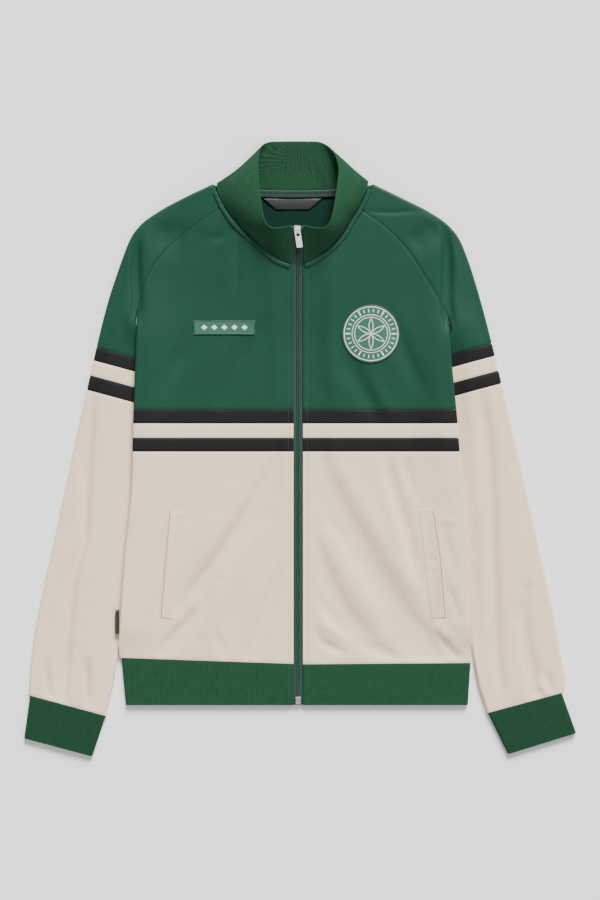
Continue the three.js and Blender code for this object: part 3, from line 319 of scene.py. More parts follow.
def relief(x, y):
    height = fold_height(x, y, FOLDS)
    for middle_x, middle_y, spread_x, spread_y, swell in SWELLS:
        height += swell * np.exp(-((x - middle_x) / spread_x) ** 2 - ((y - middle_y) / spread_y) ** 2)
    below = np.minimum(height, 0.0)
    return np.maximum(height, 0.0) + DEEPEST_TROUGH * np.tanh(below / DEEPEST_TROUGH)


def by_side(tables, x, y):
    return np.where(x < 0, tables["left"](y), tables["right"](y))


def below_armpit(x, y, run):
    return smoothstep(np.where(x < 0, ARMPIT["left"], ARMPIT["right"]) - y, 0.0, run)


def neck_rise(x, y):
    ring = np.hypot((x - NECK_X) / NECK_HALF_WIDTH, (y - NECK_Y) / NECK_HALF_LENGTH)
    return NECK_RISE * (1.0 - smoothstep(ring, 0.9, 2.1))


def back_rise(x, y):
    """How high the back lies over the floor, where the body's sides rest on the sleeves."""
    armpit = np.where(x < 0, ARMPIT["left"], ARMPIT["right"])
    lengthwise = smoothstep(armpit - y, 2.5, 20.0) * smoothstep(y, -284.0, -260.0)
    covered = by_side(SLEEVE_INNER, x, np.clip(y, *RISE_BETWEEN))
    return RISE * lengthwise * smoothstep(np.abs(x) - covered + RISE_RUN, 0.0, RISE_RUN)


def front_top(x, y):
    """Height of the laid front's upper face."""
    at_zip = smoothstep(np.abs(x - ZIP_X), 16.0, 38.0)
    above_hem = y - HEM_MIDDLE_Y - np.abs(x) * np.where(x < 0, *HEM_SLANTS)
    at_hem = smoothstep(above_hem, 0.0, 9.0)
    inset = by_side(BODY_EDGE, x, y) - np.abs(x)
    at_side = lerp(1.0, smoothstep(inset, 4.0, 24.0), below_armpit(x, y, 25.0))
    folds = at_zip * at_hem * at_side * (relief(x, y) + gathers(x, above_hem))
    return front_rise(x, y) + LAY + neck_rise(x, y) + folds


def front_rise(x, y):
    """How high the front's side lies over the back's place, from well above the armpit down to the hem."""
    armpit = np.where(x < 0, ARMPIT["left"], ARMPIT["right"])
    lengthwise = smoothstep(armpit - y, *FRONT_RISE_TOP) * smoothstep(y, *FRONT_RISE_BOTTOM)
    covered = by_side(SLEEVE_INNER, x, np.clip(y, *RISE_BETWEEN))
    return RISE * lengthwise * smoothstep(np.abs(x) - covered + FRONT_RISE_RUN, 0.0, FRONT_RISE_RUN)


def gathers(along, away):
    """Small uneven puckers along a seam that draws the cloth in, by places along it and distances from
    it."""
    wave = np.sin(along / 3.9 + 1.7 * np.sin(along / 17.0)) * (0.55 + 0.45 * np.sin(along / 29.0 + 1.0))
    return 0.9 * wave * np.exp(-((away / 11.0) ** 2))


def grid_slopes(grid):
    """Unit normals of a grid of points, by central differences."""
    along_row = np.gradient(grid, axis=1)
    along_column = np.gradient(grid, axis=0)
    normal = np.cross(along_row, along_column)
    return normal / np.maximum(np.linalg.norm(normal, axis=2, keepdims=True), 1e-9)


SEAM_DIP = 0.55
SEAM_DIP_WIDTH = 1.8
FINE_STEPS = (0.0, 0.15, 0.45, 0.9, 1.6, 2.6, 4.2)


def places(length, step):
    """Places from 0 to 1 along a length in millimetres: even steps, closer together at both ends."""
    fine = np.array([place for place in FINE_STEPS if place < 0.35 * length])
    count = max(2, int((length - 2 * fine[-1]) / step) + 1)
    middle = np.linspace(fine[-1], length - fine[-1], count)
    return np.concatenate([fine[:-1], middle, length - fine[-2::-1]]) / length


def from_ends(grid, axis):
    """Distances along the cloth from the first and the last row (axis 0) or column (axis 1)."""
    step = np.linalg.norm(np.diff(grid, axis=axis), axis=2)
    pad = ((1, 0), (0, 0)) if axis == 0 else ((0, 0), (1, 0))
    along = np.cumsum(np.pad(step, pad), axis=axis)
    total = along[-1:] if axis == 0 else along[:, -1:]
    return along, total - along


def sheet_piece(name, outer, thickness, facing, rows=(1, 1), columns=(0, 0), free_rows=(0, 0),
                free_columns=(0, 0)):
    """A closed sheet of cloth from its outer face, whose first columns face the direction facing. rows and
    columns give how deep a seam draws in the first and last of them, free_rows and free_columns which ends
    are rounded."""
    normal = grid_slopes(outer)
    if (normal[:, : normal.shape[1] // 3] * np.asarray(facing, float)).sum() < 0:
        normal = -normal
    draw = np.zeros(outer.shape[:2])
    pinch = np.zeros(outer.shape[:2])
    for axis, seams, free in ((0, rows, free_rows), (1, columns, free_columns)):
        for distance, seam, rounded in zip(from_ends(outer, axis), seams, free):
            draw = draw + SEAM_DIP * seam * np.exp(-((distance / SEAM_DIP_WIDTH) ** 2))
            if rounded:
                away = np.clip(1 - distance / (0.5 * thickness), 0, 1)
                pinch = np.maximum(pinch, 0.5 * thickness * (1 - np.sqrt(1 - away**2)))
    face = outer - normal * (draw + pinch)[..., None]
    back = outer - normal * (draw + thickness - pinch)[..., None]
    return mesh_piece(name, [shell_part(face, back)])


def shell_part(face, back):
    """Points, faces and a map of distances along the cloth for a closed sheet between two grids in
    millimetres."""
    rows, columns = face.shape[:2]
    index = np.arange(rows * columns).reshape(rows, columns)
    front = np.stack([index[:-1, :-1], index[:-1, 1:], index[1:, 1:], index[1:, :-1]], -1).reshape(-1, 4)
    behind = front[:, ::-1] + rows * columns
    rims = []
    for line, turn in ((index[0], 1), (index[-1], -1), (index[:, 0], -1), (index[:, -1], 1)):
        start, end = (line[:-1], line[1:]) if turn < 0 else (line[1:], line[:-1])
        rims.append(np.stack([start, end, end + rows * columns, start + rows * columns], -1))
    faces = np.concatenate([front, behind, *rims])
    points = np.concatenate([face.reshape(-1, 3), back.reshape(-1, 3)]) * 0.001
    corner = points[faces]
    volume = np.einsum("ij,ij->i", corner[:, 0], np.cross(corner[:, 1], corner[:, 2])).sum()
    volume += np.einsum("ij,ij->i", corner[:, 0], np.cross(corner[:, 2], corner[:, 3])).sum()
    if volume < 0:
        faces = faces[:, ::-1]
    across, along = from_ends(face, 1)[0], from_ends(face, 0)[0]
    flat = np.stack([across, along], -1).reshape(-1, 2) * 0.001
    return points, faces, np.concatenate([flat, flat])


def mesh_piece(name, parts, material_of_part=None):
    """One smooth mesh object from parts made by shell_part."""
    starts = np.cumsum([0] + [len(points) for points, faces, flat in parts])
    points = np.concatenate([part[0] for part in parts])
    faces = np.concatenate([part[1] + start for part, start in zip(parts, starts)])
    flat = np.concatenate([part[2] for part in parts])
    mesh = bpy.data.meshes.new(name)
    mesh.from_pydata(points.tolist(), [], faces.tolist())
    mesh.polygons.foreach_set("use_smooth", np.ones(len(faces), bool))
    if material_of_part:
        counts = [len(part[1]) for part in parts]
        mesh.polygons.foreach_set("material_index", np.repeat(material_of_part, counts))
    layer = mesh.uv_layers.new(name="cloth")
    layer.data.foreach_set("uv", flat[faces.reshape(-1)].reshape(-1))
    piece = bpy.data.objects.new(name, mesh)
    bpy.context.scene.collection.objects.link(piece)
    return piece


def linear(*rgb):
    """A colour as seen on a screen, 0 to 255, made linear."""
    return tuple(((v / 255 + 0.055) / 1.055) ** 2.4 for v in rgb) + (1.0,)


GREEN = linear(21, 66, 48)
CREAM = linear(243, 216, 187)
BLACK = linear(25, 24, 26)


def tricot(name, colour, roughness=0.55, line_pitch=0.9, line_depth=0.12, sheen=0.03):
    """Smooth warp knit: fine slanted lines, a soft gloss and slightly uneven colour."""
    material = bpy.data.materials.new(name)
    material.use_nodes = True
    tree = material.node_tree
    nodes, links = tree.nodes, tree.links
    shader = nodes["Principled BSDF"]
    shader.inputs["Sheen Weight"].default_value = sheen
    shader.inputs["Sheen Roughness"].default_value = 0.4
    shader.inputs["Specular IOR Level"].default_value = 0.16
    place = nodes.new("ShaderNodeUVMap")
    place.uv_map = "cloth"
    turn = nodes.new("ShaderNodeMapping")
    turn.inputs["Rotation"].default_value = (0, 0, math.radians(32))
    links.new(place.outputs["UV"], turn.inputs["Vector"])
    lines = nodes.new("ShaderNodeTexWave")
    lines.inputs["Scale"].default_value = 1000.0 / line_pitch / (2 * math.pi) * 1.0
    lines.inputs["Distortion"].default_value = 0.6
    lines.inputs["Detail"].default_value = 1.0
    links.new(turn.outputs["Vector"], lines.inputs["Vector"])
    mottle = nodes.new("ShaderNodeTexNoise")
    mottle.inputs["Scale"].default_value = 38.0
    mottle.inputs["Detail"].default_value = 5.0
    links.new(place.outputs["UV"], mottle.inputs["Vector"])
    shade = nodes.new("ShaderNodeValToRGB")
    shade.color_ramp.elements[0].position = 0.3
    shade.color_ramp.elements[0].color = tuple(c * 0.965 for c in colour[:3]) + (1.0,)
    shade.color_ramp.elements[1].position = 0.7
    shade.color_ramp.elements[1].color = tuple(min(1.0, c * 1.03) for c in colour[:3]) + (1.0,)
    links.new(mottle.outputs["Fac"], shade.inputs["Fac"])
    stripe = nodes.new("ShaderNodeMix")
    stripe.data_type = "RGBA"
    stripe.blend_type = "MULTIPLY"
    stripe.inputs["B"].default_value = (0.84, 0.84, 0.84, 1.0)
    links.new(lines.outputs["Fac"], stripe.inputs["Factor"])
    links.new(shade.outputs["Color"], stripe.inputs["A"])
    links.new(stripe.outputs["Result"], shader.inputs["Base Color"])
    rough = nodes.new("ShaderNodeMapRange")
    rough.inputs["To Min"].default_value = roughness - 0.06
    rough.inputs["To Max"].default_value = roughness + 0.08
    links.new(mottle.outputs["Fac"], rough.inputs["Value"])
    links.new(rough.outputs["Result"], shader.inputs["Roughness"])
    bump = nodes.new("ShaderNodeBump")
    bump.inputs["Strength"].default_value = line_depth
    bump.inputs["Distance"].default_value = 0.0003
    links.new(lines.outputs["Fac"], bump.inputs["Height"])
    links.new(bump.outputs["Normal"], shader.inputs["Normal"])
    return material


GREEN_TRICOT = tricot("green_tricot", GREEN)
CREAM_TRICOT = tricot("cream_tricot", CREAM, roughness=0.55)
BLACK_TRICOT = tricot("black_tricot", BLACK)
BAND_CLOTHS = {"band_top": BLACK_TRICOT, "band_mid": CREAM_TRICOT, "band_low": BLACK_TRICOT}
BAND_SLOTS = {"band_top": "black_tricot", "band_mid": "cream_tricot", "band_low": "black_tricot"}


def finish_cloth(piece, material, slot, nodes, cut, area=None):
    """Gives a cloth piece its material, body and the place of its CAD nodes, which it hides. The size it was
    cut to, in metres, is not used."""
    piece.data.materials.append(material)
    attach(piece, "jacket")
    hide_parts(*nodes)


def cut_size(piece):
    """The flat size of a piece: its box where it lies flat, and the area of one face."""
    mesh = piece.data
    areas = np.empty(len(mesh.polygons))
    mesh.polygons.foreach_get("area", areas)
    uv = np.empty(len(mesh.loops) * 2)
    mesh.uv_layers["cloth"].data.foreach_get("uv", uv)
    width, length = uv.reshape(-1, 2).max(0)
    area = float(areas.sum() / 2)
    return (float(width), float(length)), min(max(area, 0.31 * width * length), 0.99 * width * length)


FOLD_TURNS = np.linspace(math.pi / 2, 0.0, 7)
STITCH_INSET = 6.5
ZIP_EDGE = {"left": 8.8, "right": 4.0}
ZIP_EDGE_STEPS = (0.0, 0.2, 0.5, 1.0, 2.0, 3.5, 4.8, 5.7, 6.5, 7.3, 8.2, 9.5, 11.5, 14.0)


def front_panel(side, low, high):
    """The grid of a front panel between two seams. low and high give their heights by distance from the
    centre."""
    length = float(high(120.0) - low(120.0))
    t = places(length, GRAIN)[:, None]
    edge_y = lerp(low(225.0), high(225.0), t)
    open_seam = edge_y > ARMPIT[side]
    outer = np.where(open_seam, RAGLAN[side](edge_y), BODY_EDGE[side](edge_y))
    corner = smoothstep(edge_y, NECK_CORNER[side] + 0.5, NECK_CORNER[side] + 2.0)
    inner = lerp(ZIP_EDGE[side], NECK_EDGE[side](edge_y), corner)
    near_zip = np.array(ZIP_EDGE_STEPS) / 220.0
    across = np.concatenate([near_zip[:-1], near_zip[-1] + (1 - near_zip[-1]) * places(206.0, GRAIN)[4:]])
    flat = lerp(inner, outer - FOLD_RADIUS, across[None, :])
    fold = outer - FOLD_RADIUS + FOLD_RADIUS * np.cos(FOLD_TURNS[1:])[None, :]
    out = np.concatenate([flat, fold], axis=1)
    turn = np.concatenate([np.ones(len(across)), np.sin(FOLD_TURNS[1:])])[None, :]
    y = lerp(low(out), high(out), t)
    x = SIGN[side] * out
    top = front_top(x, y)
    middle = back_rise(x, y) + FOLD_RADIUS + SEAM / 2
    closed = smoothstep(ARMPIT[side] - edge_y, 0.0, 15.0)
    groove = 0.3 * np.exp(-(((out - inner - STITCH_INSET) / 1.3) ** 2)) * (1 - corner)
    return np.stack([x, y, lerp(top, lerp(middle, top, turn), closed) - groove], -1), 1.0 - closed


def level(height):
    return lambda out: np.full_like(np.asarray(out, float), height)


def hem_seam(side):
    """The seam between the lower panel and the rib rises a little from the zip to the side."""
    low, high = span_y(f"front_lower_{side}")
    corner = {"left": -282.0, "right": -289.0}[side]
    reach_out = {"left": 241.5, "right": 230.9}[side]
    return lambda out: lerp(low, corner, np.asarray(out, float) / reach_out)


def front_piece(side, name, low, high, material, slot, rows=(1, 1)):
    grid, open_seam = front_panel(side, low, high)
    piece = sheet_piece(f"{name}_{side}_cloth", grid, CLOTH, (0, 0, 1), rows, (0, open_seam),
                        free_columns=(1, 0))
    finish_cloth(piece, material, slot, [f"{name}_{side}"], *cut_size(piece))


for side in SIGN:
    seams = [span_y(f"front_{band}_{side}")[1] for band in BANDS] + [span_y(f"front_{BANDS[-1]}_{side}")[0]]
    upper_low, upper_high = span_y(f"front_upper_{side}")
    front_piece(side, "front_upper", level(upper_low), level(upper_high), GREEN_TRICOT, "green_tricot",
                (1, 0))
    for i, band in enumerate(BANDS):
        low = seams[i + 1] + (SEAM if i < 2 else 0.0)
        front_piece(side, f"front_{band}", level(low), level(seams[i]), BAND_CLOTHS[band], BAND_SLOTS[band])
    low_seam = level(seams[-1] - SEAM)
    front_piece(side, "front_lower", hem_seam(side), low_seam, CREAM_TRICOT, "cream_tricot")

# Back. Cut in the same five pieces as the fronts, each in one width, lying on the surface under the fronts.
# Its sides rest on the sleeves and meet the fronts at the side seams.


def node_points(name):
    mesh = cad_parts[name].data
    points = np.empty(len(mesh.vertices) * 3)
    mesh.vertices.foreach_get("co", points)
    return points.reshape(-1, 3) * 1000.0


BACK_RAGLAN, BACK_TOP = {}, {}
for side in SIGN:
    points = node_points("back_upper")
    BACK_TOP[side] = points[points[:, 0] * SIGN[side] > 60, 1].max()
    BACK_RAGLAN[side] = reach(["back_upper"], side, ARMPIT[side], BACK_TOP[side] - 0.3)


def back_panel(row_y, steps):
    """The grid of a back panel. row_y gives the height of each row by side and distance from the centre."""
    halves = []
    for side in SIGN:
        edge_y = row_y(side, 225.0)
        open_seam = edge_y > ARMPIT[side]
        outer = np.where(open_seam, BACK_RAGLAN[side](edge_y), BODY_EDGE[side](edge_y))
        closed = smoothstep(ARMPIT[side] - edge_y, 0.0, 15.0)
        flat = (outer - FOLD_RADIUS) * np.linspace(0, 1, steps)[None, :]
        out = np.concatenate([flat, outer - FOLD_RADIUS + FOLD_RADIUS * np.cos(FOLD_TURNS[1:])[None, :]],
                             axis=1)
        turn = np.concatenate([np.ones(steps), np.sin(FOLD_TURNS[1:])])[None, :]
        x, y = SIGN[side] * out, row_y(side, out)
        low = back_rise(x, y)
        z = lerp(low, lerp(low + FOLD_RADIUS - SEAM / 2, low, turn), closed)
        halves.append(np.stack([x, y, z], -1))
    return np.concatenate([halves[0][:, ::-1], halves[1][:, 1:]], axis=1)


def back_piece(name, row_y, material, slot):
    grid = back_panel(row_y, 76)
    piece = sheet_piece(f"{name}_cloth", grid, CLOTH, (0, 0, -1), (0, 0))
    finish_cloth(piece, material, slot, [name], *cut_size(piece))
    return piece, (grid.shape[0] - 1) * (grid.shape[1] - 1)


def back_upper_rows():
    t = places(300.0, GRAIN)[:, None]
    low = span_y("back_upper")[0]
    dip = lambda side, out: 3.5 * np.minimum(0.0, ((SIGN[side] * out - NECK_X) / 86.0) ** 2 - 1.0)
    at_neck = smoothstep(t, 0.86, 1.0)
    return lambda side, out: lerp(low, BACK_TOP[side], t) + at_neck * dip(side, np.asarray(out, float))


def level_rows(low, high):
    t = places(high - low, GRAIN)[:, None]
    return lambda side, out: lerp(low, high, t) + np.zeros_like(np.asarray(out, float))


def lower_rows():
    high = span_y("back_lower")[1]
    t = places(288.0, GRAIN)[:, None]
    return lambda side, out: lerp(hem_seam(side)(out), high, t)


# The back's upper face, which shows inside the neck, is matt and darker than the tricot: painted shade for
# the shade under the collar.
GREEN_INSIDE_SHADE = tricot("green_inside_painted_shade", linear(10, 44, 34), roughness=0.9, sheen=0.0)
back_upper, face_count = back_piece("back_upper", back_upper_rows(), GREEN_TRICOT, "green_tricot")
back_upper.data.materials.append(GREEN_INSIDE_SHADE)
for polygon in back_upper.data.polygons[face_count : 2 * face_count]:
    polygon.material_index = 1
for band in BANDS:
    back_piece(f"back_{band}", level_rows(*span_y(f"back_{band}")), BAND_CLOTHS[band], BAND_SLOTS[band])
back_piece("back_lower", lower_rows(), CREAM_TRICOT, "cream_tricot")

# Sleeves. Raglan sleeves of the same tricot: green from the neck, three stripes and a cream lower panel,
# folded flat along the outer edge and closed by a seam under the arm.
SLEEVE_SLANT = 0.27
DROP_BELOW_ARMPIT = 50.0
DROP_END = (-300.0, -240.0)
INNER_DROP = 3.2
SHOULDER_TOP = 357.8
CUFF_SEAM = {"left": -332.5, "right": -329.0}
SLEEVE_BANDS = {"left": (137.7, 119.7, 99.6, 80.0), "right": (142.8, 126.0, 106.0, 88.8)}


def sleeve_top(x, y):
    """Height of a laid sleeve's upper face."""
    out = np.abs(x)
    outer = by_side(SLEEVE_OUTER, x, y)
    at_outer = smoothstep(outer - out, 3.0, 20.0)
    at_inner = lerp(1.0, smoothstep(out - by_side(SLEEVE_INNER, x, y), 16.0, 34.0), below_armpit(x, y, 25.0))
    cuff = np.where(x < 0, CUFF_SEAM["left"], CUFF_SEAM["right"])
    from_cuff = y + SLEEVE_SLANT * (outer - out) - cuff
    at_cuff = smoothstep(from_cuff, 0.0, 9.0)
    armpit = np.where(x < 0, ARMPIT["left"], ARMPIT["right"])
    rise = front_rise(x, y) * smoothstep(y, armpit - 60.0, armpit) * smoothstep(outer - out, 3.0, 45.0)
    beside = 1.0 - smoothstep(out - by_side(BODY_EDGE, x, np.clip(y, -280.0, armpit - 1.0)), -2.0, 22.0)
    drop = INNER_DROP * beside * below_armpit(x, y, DROP_BELOW_ARMPIT) * smoothstep(y, *DROP_END)
    folds = at_outer * at_inner * at_cuff * (relief(x, y) + gathers(out, from_cuff))
    return LAY + neck_rise(x, y) + rise - drop + folds


def round_sleeve(side, front, outer, back, closed, bend=0.0):
    """The grid round a sleeve: over the top from the front edge, round the outer fold and back
    underneath."""
    sign = SIGN[side]
    front, outer, back = (np.stack([sign * end[0], end[1]], -1) for end in (front, outer, back))
    closed = np.asarray(closed, float).reshape(-1, 1) + np.zeros((len(front), 1))
    bend = np.asarray(bend, float).reshape(-1, 1) + np.zeros((len(front), 1))
    parts = []

    def strip(edge, distance, height):
        away = outer - edge
        length = np.linalg.norm(away, axis=1, keepdims=True)
        t = distance(length)
        place = edge[:, None] + (away / length)[:, None] * t[..., None]
        x = place[..., 0] - sign * bend * np.sin(math.pi * t / length)
        y = place[..., 1]
        parts.append(np.stack([x, y, height(sleeve_top(x, y))], -1))

    quarter = np.linspace(0.0, math.pi / 2, 6)[None, :-1]
    near = FOLD_RADIUS * (1 - np.cos(quarter))
    flat_count = 36
    even = np.linspace(0.0, 1.0, flat_count)[None, :]
    half_turn = np.linspace(math.pi / 2, -math.pi / 2, 13)[None, 1:-1]
    inset = FOLD_RADIUS * (1 - np.cos(half_turn))
    strip(front, lambda n: near + 0 * n,
          lambda top: lerp(top, lerp(top / 2 + SEAM / 2, top, np.sin(quarter)), closed))
    strip(front, lambda n: lerp(FOLD_RADIUS, n - FOLD_RADIUS, even), lambda top: top)
    strip(front, lambda n: n - inset[:, :6], lambda top: top / 2 * (1 + np.sin(half_turn[:, :6])))
    strip(back, lambda n: n - inset[:, 6:], lambda top: top / 2 * (1 + np.sin(half_turn[:, 6:])))
    strip(back, lambda n: lerp(n - FOLD_RADIUS, FOLD_RADIUS, even), lambda top: 0 * top)
    strip(back, lambda n: near[:, ::-1] + 0 * n,
          lambda top: lerp(0, lerp(top / 2 - SEAM / 2, 0, np.sin(quarter[:, ::-1])), closed))
    return np.concatenate(parts, axis=1)


def sleeve_ends(side, outer_y):
    """Both ends of the sleeve's slanted rows below the armpit, from the heights of their outer ends."""
    outer = SLEEVE_OUTER[side](outer_y)
    inner_y = outer_y - 15.0
    for step in range(6):
        inner_y = outer_y - SLEEVE_SLANT * (outer - SLEEVE_INNER[side](inner_y))
    return (outer, outer_y), (SLEEVE_INNER[side](inner_y), inner_y)


def sleeve_tube(side, outer_y):
    outer, inner = sleeve_ends(side, outer_y)
    closed = smoothstep(ARMPIT[side] - inner[1], 0.0, 15.0)
    return round_sleeve(side, inner, outer, inner, closed)


def shoulder(side):
    """The grid of the sleeve's upper part, between the seams to the front and to the back."""
    armpit = ARMPIT[side]
    gap = 0.4
    tip = span_y(f"front_upper_{side}")[1]
    corner = NECK_CORNER[side]
    lowest = armpit + SLEEVE_SLANT * (SLEEVE_OUTER[side](armpit) - BODY_EDGE[side](armpit))
    outline_y = np.linspace(SHOULDER_TOP, lowest, 90)
    outline = np.stack([SLEEVE_OUTER[side](outline_y), outline_y], -1)
    path = np.concatenate([[0.0], np.cumsum(np.linalg.norm(np.diff(outline, axis=0), axis=1))])
    t = np.linspace(0.0, 1.0, 64)
    front_y = np.interp(t, (0, 6 / 11, 7 / 11, 1), (tip, corner + 2.1, corner, armpit))
    outer = tuple(np.interp(t * path[-1], path, outline[:, i]) for i in (0, 1))
    back_y = lerp(BACK_TOP[side], armpit, t)
    front = (RAGLAN[side](front_y) + gap, front_y)
    back = (BACK_RAGLAN[side](back_y) + gap, back_y)
    bend = 3.0 * np.maximum(0.0, 1 - t * 11 / 3)
    return round_sleeve(side, front, outer, back, 0.0, bend), lowest


def sleeve_piece(side, name, grid, material, slot, rows=(1, 1), columns=(0, 0)):
    piece = sheet_piece(f"{name}_{side}_cloth", grid, CLOTH, (0, 0, 1), rows, columns)
    finish_cloth(piece, material, slot, [f"{name}_{side}"], *cut_size(piece))


for side in SIGN:
    seams = SLEEVE_BANDS[side]
    upper, lowest = shoulder(side)
    run = lerp(lowest, seams[0] + SEAM / 2, places(lowest - seams[0], GRAIN))[7:]
    grid = np.concatenate([upper, sleeve_tube(side, run)])
    open_seam = np.concatenate([np.ones(len(upper)), smoothstep(-np.arange(len(run)), -8.0, 0.0)])[:, None]
    sleeve_piece(side, "sleeve_upper", grid, GREEN_TRICOT, "green_tricot", (0, 1), (open_seam, open_seam))
    ends = list(seams) + [CUFF_SEAM[side]]
    for i, band in enumerate(BANDS):
        run = lerp(ends[i] - SEAM / 2, ends[i + 1] + SEAM / 2, places(ends[i] - ends[i + 1], GRAIN))
        sleeve_piece(side, f"sleeve_{band}", sleeve_tube(side, run), BAND_CLOTHS[band], BAND_SLOTS[band])
    run = lerp(ends[3] - SEAM / 2, ends[4], places(ends[3] - ends[4], GRAIN))
    sleeve_piece(side, "sleeve_lower", sleeve_tube(side, run), CREAM_TRICOT, "cream_tricot")

# Hem and cuffs. Green rib knit, doubled and stretched a little as it is sewn on, so that it draws the tricot
# in. The ribs run away from the seam, and the lower edge is the fold of the doubled knit.
RIB_CLOTH = 1.9
RIB_PITCH = 2.6
RIB_DEPTH = 0.22
HEM_SEAM = -291.0
HEM_BOTTOM = -346.0
HEM_CORNER = {"left": (241.5, -282.0, 235.4), "right": (230.9, -289.0, 227.2)}
CUFF_LOW = {"left": ((373.0, -391.0), (281.0, -415.5)), "right": ((373.5, -384.0), (281.0, -412.5))}
RIB_GREEN = linear(28, 74, 48)
CUFF_GREEN = linear(24, 66, 43)


def rib_knit(name, colour):
    """Rib knit: matt, with painted shade in the grooves and painted light on the crests of the modelled ribs,
    and small stitches along them.
    """
    material = bpy.data.materials.new(name)
    material.use_nodes = True
    tree = material.node_tree
    nodes, links = tree.nodes, tree.links
    shader = nodes["Principled BSDF"]
    shader.inputs["Roughness"].default_value = 0.85
    shader.inputs["Specular IOR Level"].default_value = 0.14
    shader.inputs["Sheen Weight"].default_value = 0.05
    place = nodes.new("ShaderNodeUVMap")
    place.uv_map = "cloth"
    split = nodes.new("ShaderNodeSeparateXYZ")
    links.new(place.outputs["UV"], split.inputs["Vector"])

    def wave(source, pitch):
        turns = nodes.new("ShaderNodeMath")
        turns.operation = "MULTIPLY"
        turns.inputs[1].default_value = 2 * math.pi * 1000.0 / pitch
        links.new(split.outputs[source], turns.inputs[0])
        sine = nodes.new("ShaderNodeMath")
        sine.operation = "COSINE"
        links.new(turns.outputs["Value"], sine.inputs[0])
        share = nodes.new("ShaderNodeMapRange")
        share.inputs["From Min"].default_value = -1.0
        links.new(sine.outputs["Value"], share.inputs["Value"])
        return share.outputs["Result"]

    mottle = nodes.new("ShaderNodeTexNoise")
    mottle.inputs["Scale"].default_value = 140.0
    links.new(place.outputs["UV"], mottle.inputs["Vector"])
    # Painted shade and light: the colour is darker in the rib grooves and lighter on the crests.
    rib_groove_shade = nodes.new("ShaderNodeMix")
    rib_groove_shade.data_type = "RGBA"
    rib_groove_shade.inputs["A"].default_value = tuple(c * 0.62 for c in colour[:3]) + (1.0,)
    rib_groove_shade.inputs["B"].default_value = tuple(c * 1.12 for c in colour[:3]) + (1.0,)
    links.new(wave("X", RIB_PITCH), rib_groove_shade.inputs["Factor"])
    shade = nodes.new("ShaderNodeMix")
    shade.data_type = "RGBA"
    shade.blend_type = "MULTIPLY"
    shade.inputs["Factor"].default_value = 0.35
    links.new(rib_groove_shade.outputs["Result"], shade.inputs["A"])
    links.new(mottle.outputs["Fac"], shade.inputs["B"])
    links.new(shade.outputs["Result"], shader.inputs["Base Color"])
    bump = nodes.new("ShaderNodeBump")
    bump.inputs["Strength"].default_value = 0.5
    bump.inputs["Distance"].default_value = 0.0002
    links.new(wave("Y", 1.1), bump.inputs["Height"])
    links.new(bump.outputs["Normal"], shader.inputs["Normal"])
    return material


GREEN_RIB = rib_knit("green_rib", RIB_GREEN)
CUFF_RIB = rib_knit("cuff_rib", CUFF_GREEN)


def ribbed(grid, facing=(0, 0, 1)):
    """The grid with ribs along its columns, on the side that its first columns' facing tells."""
    normal = grid_slopes(grid)
    if (normal[:, : normal.shape[1] // 3] * np.asarray(facing, float)).sum() < 0:
        normal = -normal
    across = from_ends(grid, 1)[0]
    middle = across[across.shape[0] // 2]
    near_end = np.minimum(*from_ends(grid, 0))
    rounded = smoothstep(near_end, 0.5, 3.0)
    height = RIB_DEPTH * (np.cos(2 * math.pi * middle / RIB_PITCH)[None, :] - 1) * rounded
    return grid + normal * height[..., None]


def finish_rib(piece, material, nodes, cut, area):
    piece.data.materials.append(material)
    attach(piece, "jacket")
    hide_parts(*nodes)


RIB_COLUMN = RIB_PITCH / 5
hem_rows = places(55.0, GRAIN)[:, None]
hem_halves = []
for side in SIGN:
    corner_x, corner_y, bottom_x = HEM_CORNER[side]
    outer = lerp(corner_x, bottom_x, hem_rows)
    turn = np.linspace(math.pi / 2, -math.pi / 2, 17)[None, 1:-1]
    count = int(corner_x / RIB_COLUMN)
    face = lerp(ZIP_EDGE[side], outer - FOLD_RADIUS, np.linspace(0, 1, count)[None, :])
    fold = outer - FOLD_RADIUS * (1 - np.cos(turn))
    base = lerp(outer - FOLD_RADIUS, 0.0, np.linspace(0, 1, count)[None, :])
    out = np.concatenate([face, fold, base], axis=1)
    seam_y = lerp(HEM_SEAM, corner_y, out / corner_x) - SEAM / 2
    heights = (np.full_like(face, LAY), FOLD_RADIUS * (1 + np.sin(turn)) + 0 * fold, np.zeros_like(base))
    grid = np.stack([SIGN[side] * out, lerp(seam_y, HEM_BOTTOM, hem_rows), np.concatenate(heights, axis=1)],
                    -1)
    hem_halves.append(grid)
hem_grid = ribbed(np.concatenate([hem_halves[0], hem_halves[1][:, -2::-1]], axis=1))
hem = sheet_piece("hem_rib_knit", hem_grid, RIB_CLOTH, (0, 0, 1), (1, 0), free_rows=(0, 1),
                  free_columns=(1, 1))
finish_rib(hem, GREEN_RIB, ["hem_rib"], *cut_size(hem))

for side in SIGN:
    outer, inner = (np.array(end) for end in sleeve_ends(side, np.array(CUFF_SEAM[side])))
    across = (outer - inner) / np.linalg.norm(outer - inner)
    down = 0.45 * np.array([across[1], -across[0]])
    tuck = 1.5
    rows = places(62.0, GRAIN)[:, None]
    low_outer, low_inner = (np.array(end) for end in CUFF_LOW[side])
    front = lerp(inner + across * tuck + down, low_inner, rows).T
    far = lerp(outer - across * tuck + down, low_outer, rows).T
    grid = round_sleeve(side, tuple(front), tuple(far), tuple(front), 1.0)
    fine = np.linspace(0, grid.shape[1] - 1, int(200 / RIB_COLUMN))
    low = np.floor(fine).astype(int).clip(0, grid.shape[1] - 2)
    grid = lerp(grid[:, low], grid[:, low + 1], (fine - low)[None, :, None])
    cuff = sheet_piece(f"cuff_{side}_knit", ribbed(grid), RIB_CLOTH, (0, 0, 1), (1, 0), free_rows=(0, 1))
    finish_rib(cuff, CUFF_RIB, [f"cuff_{side}"], *cut_size(cuff))

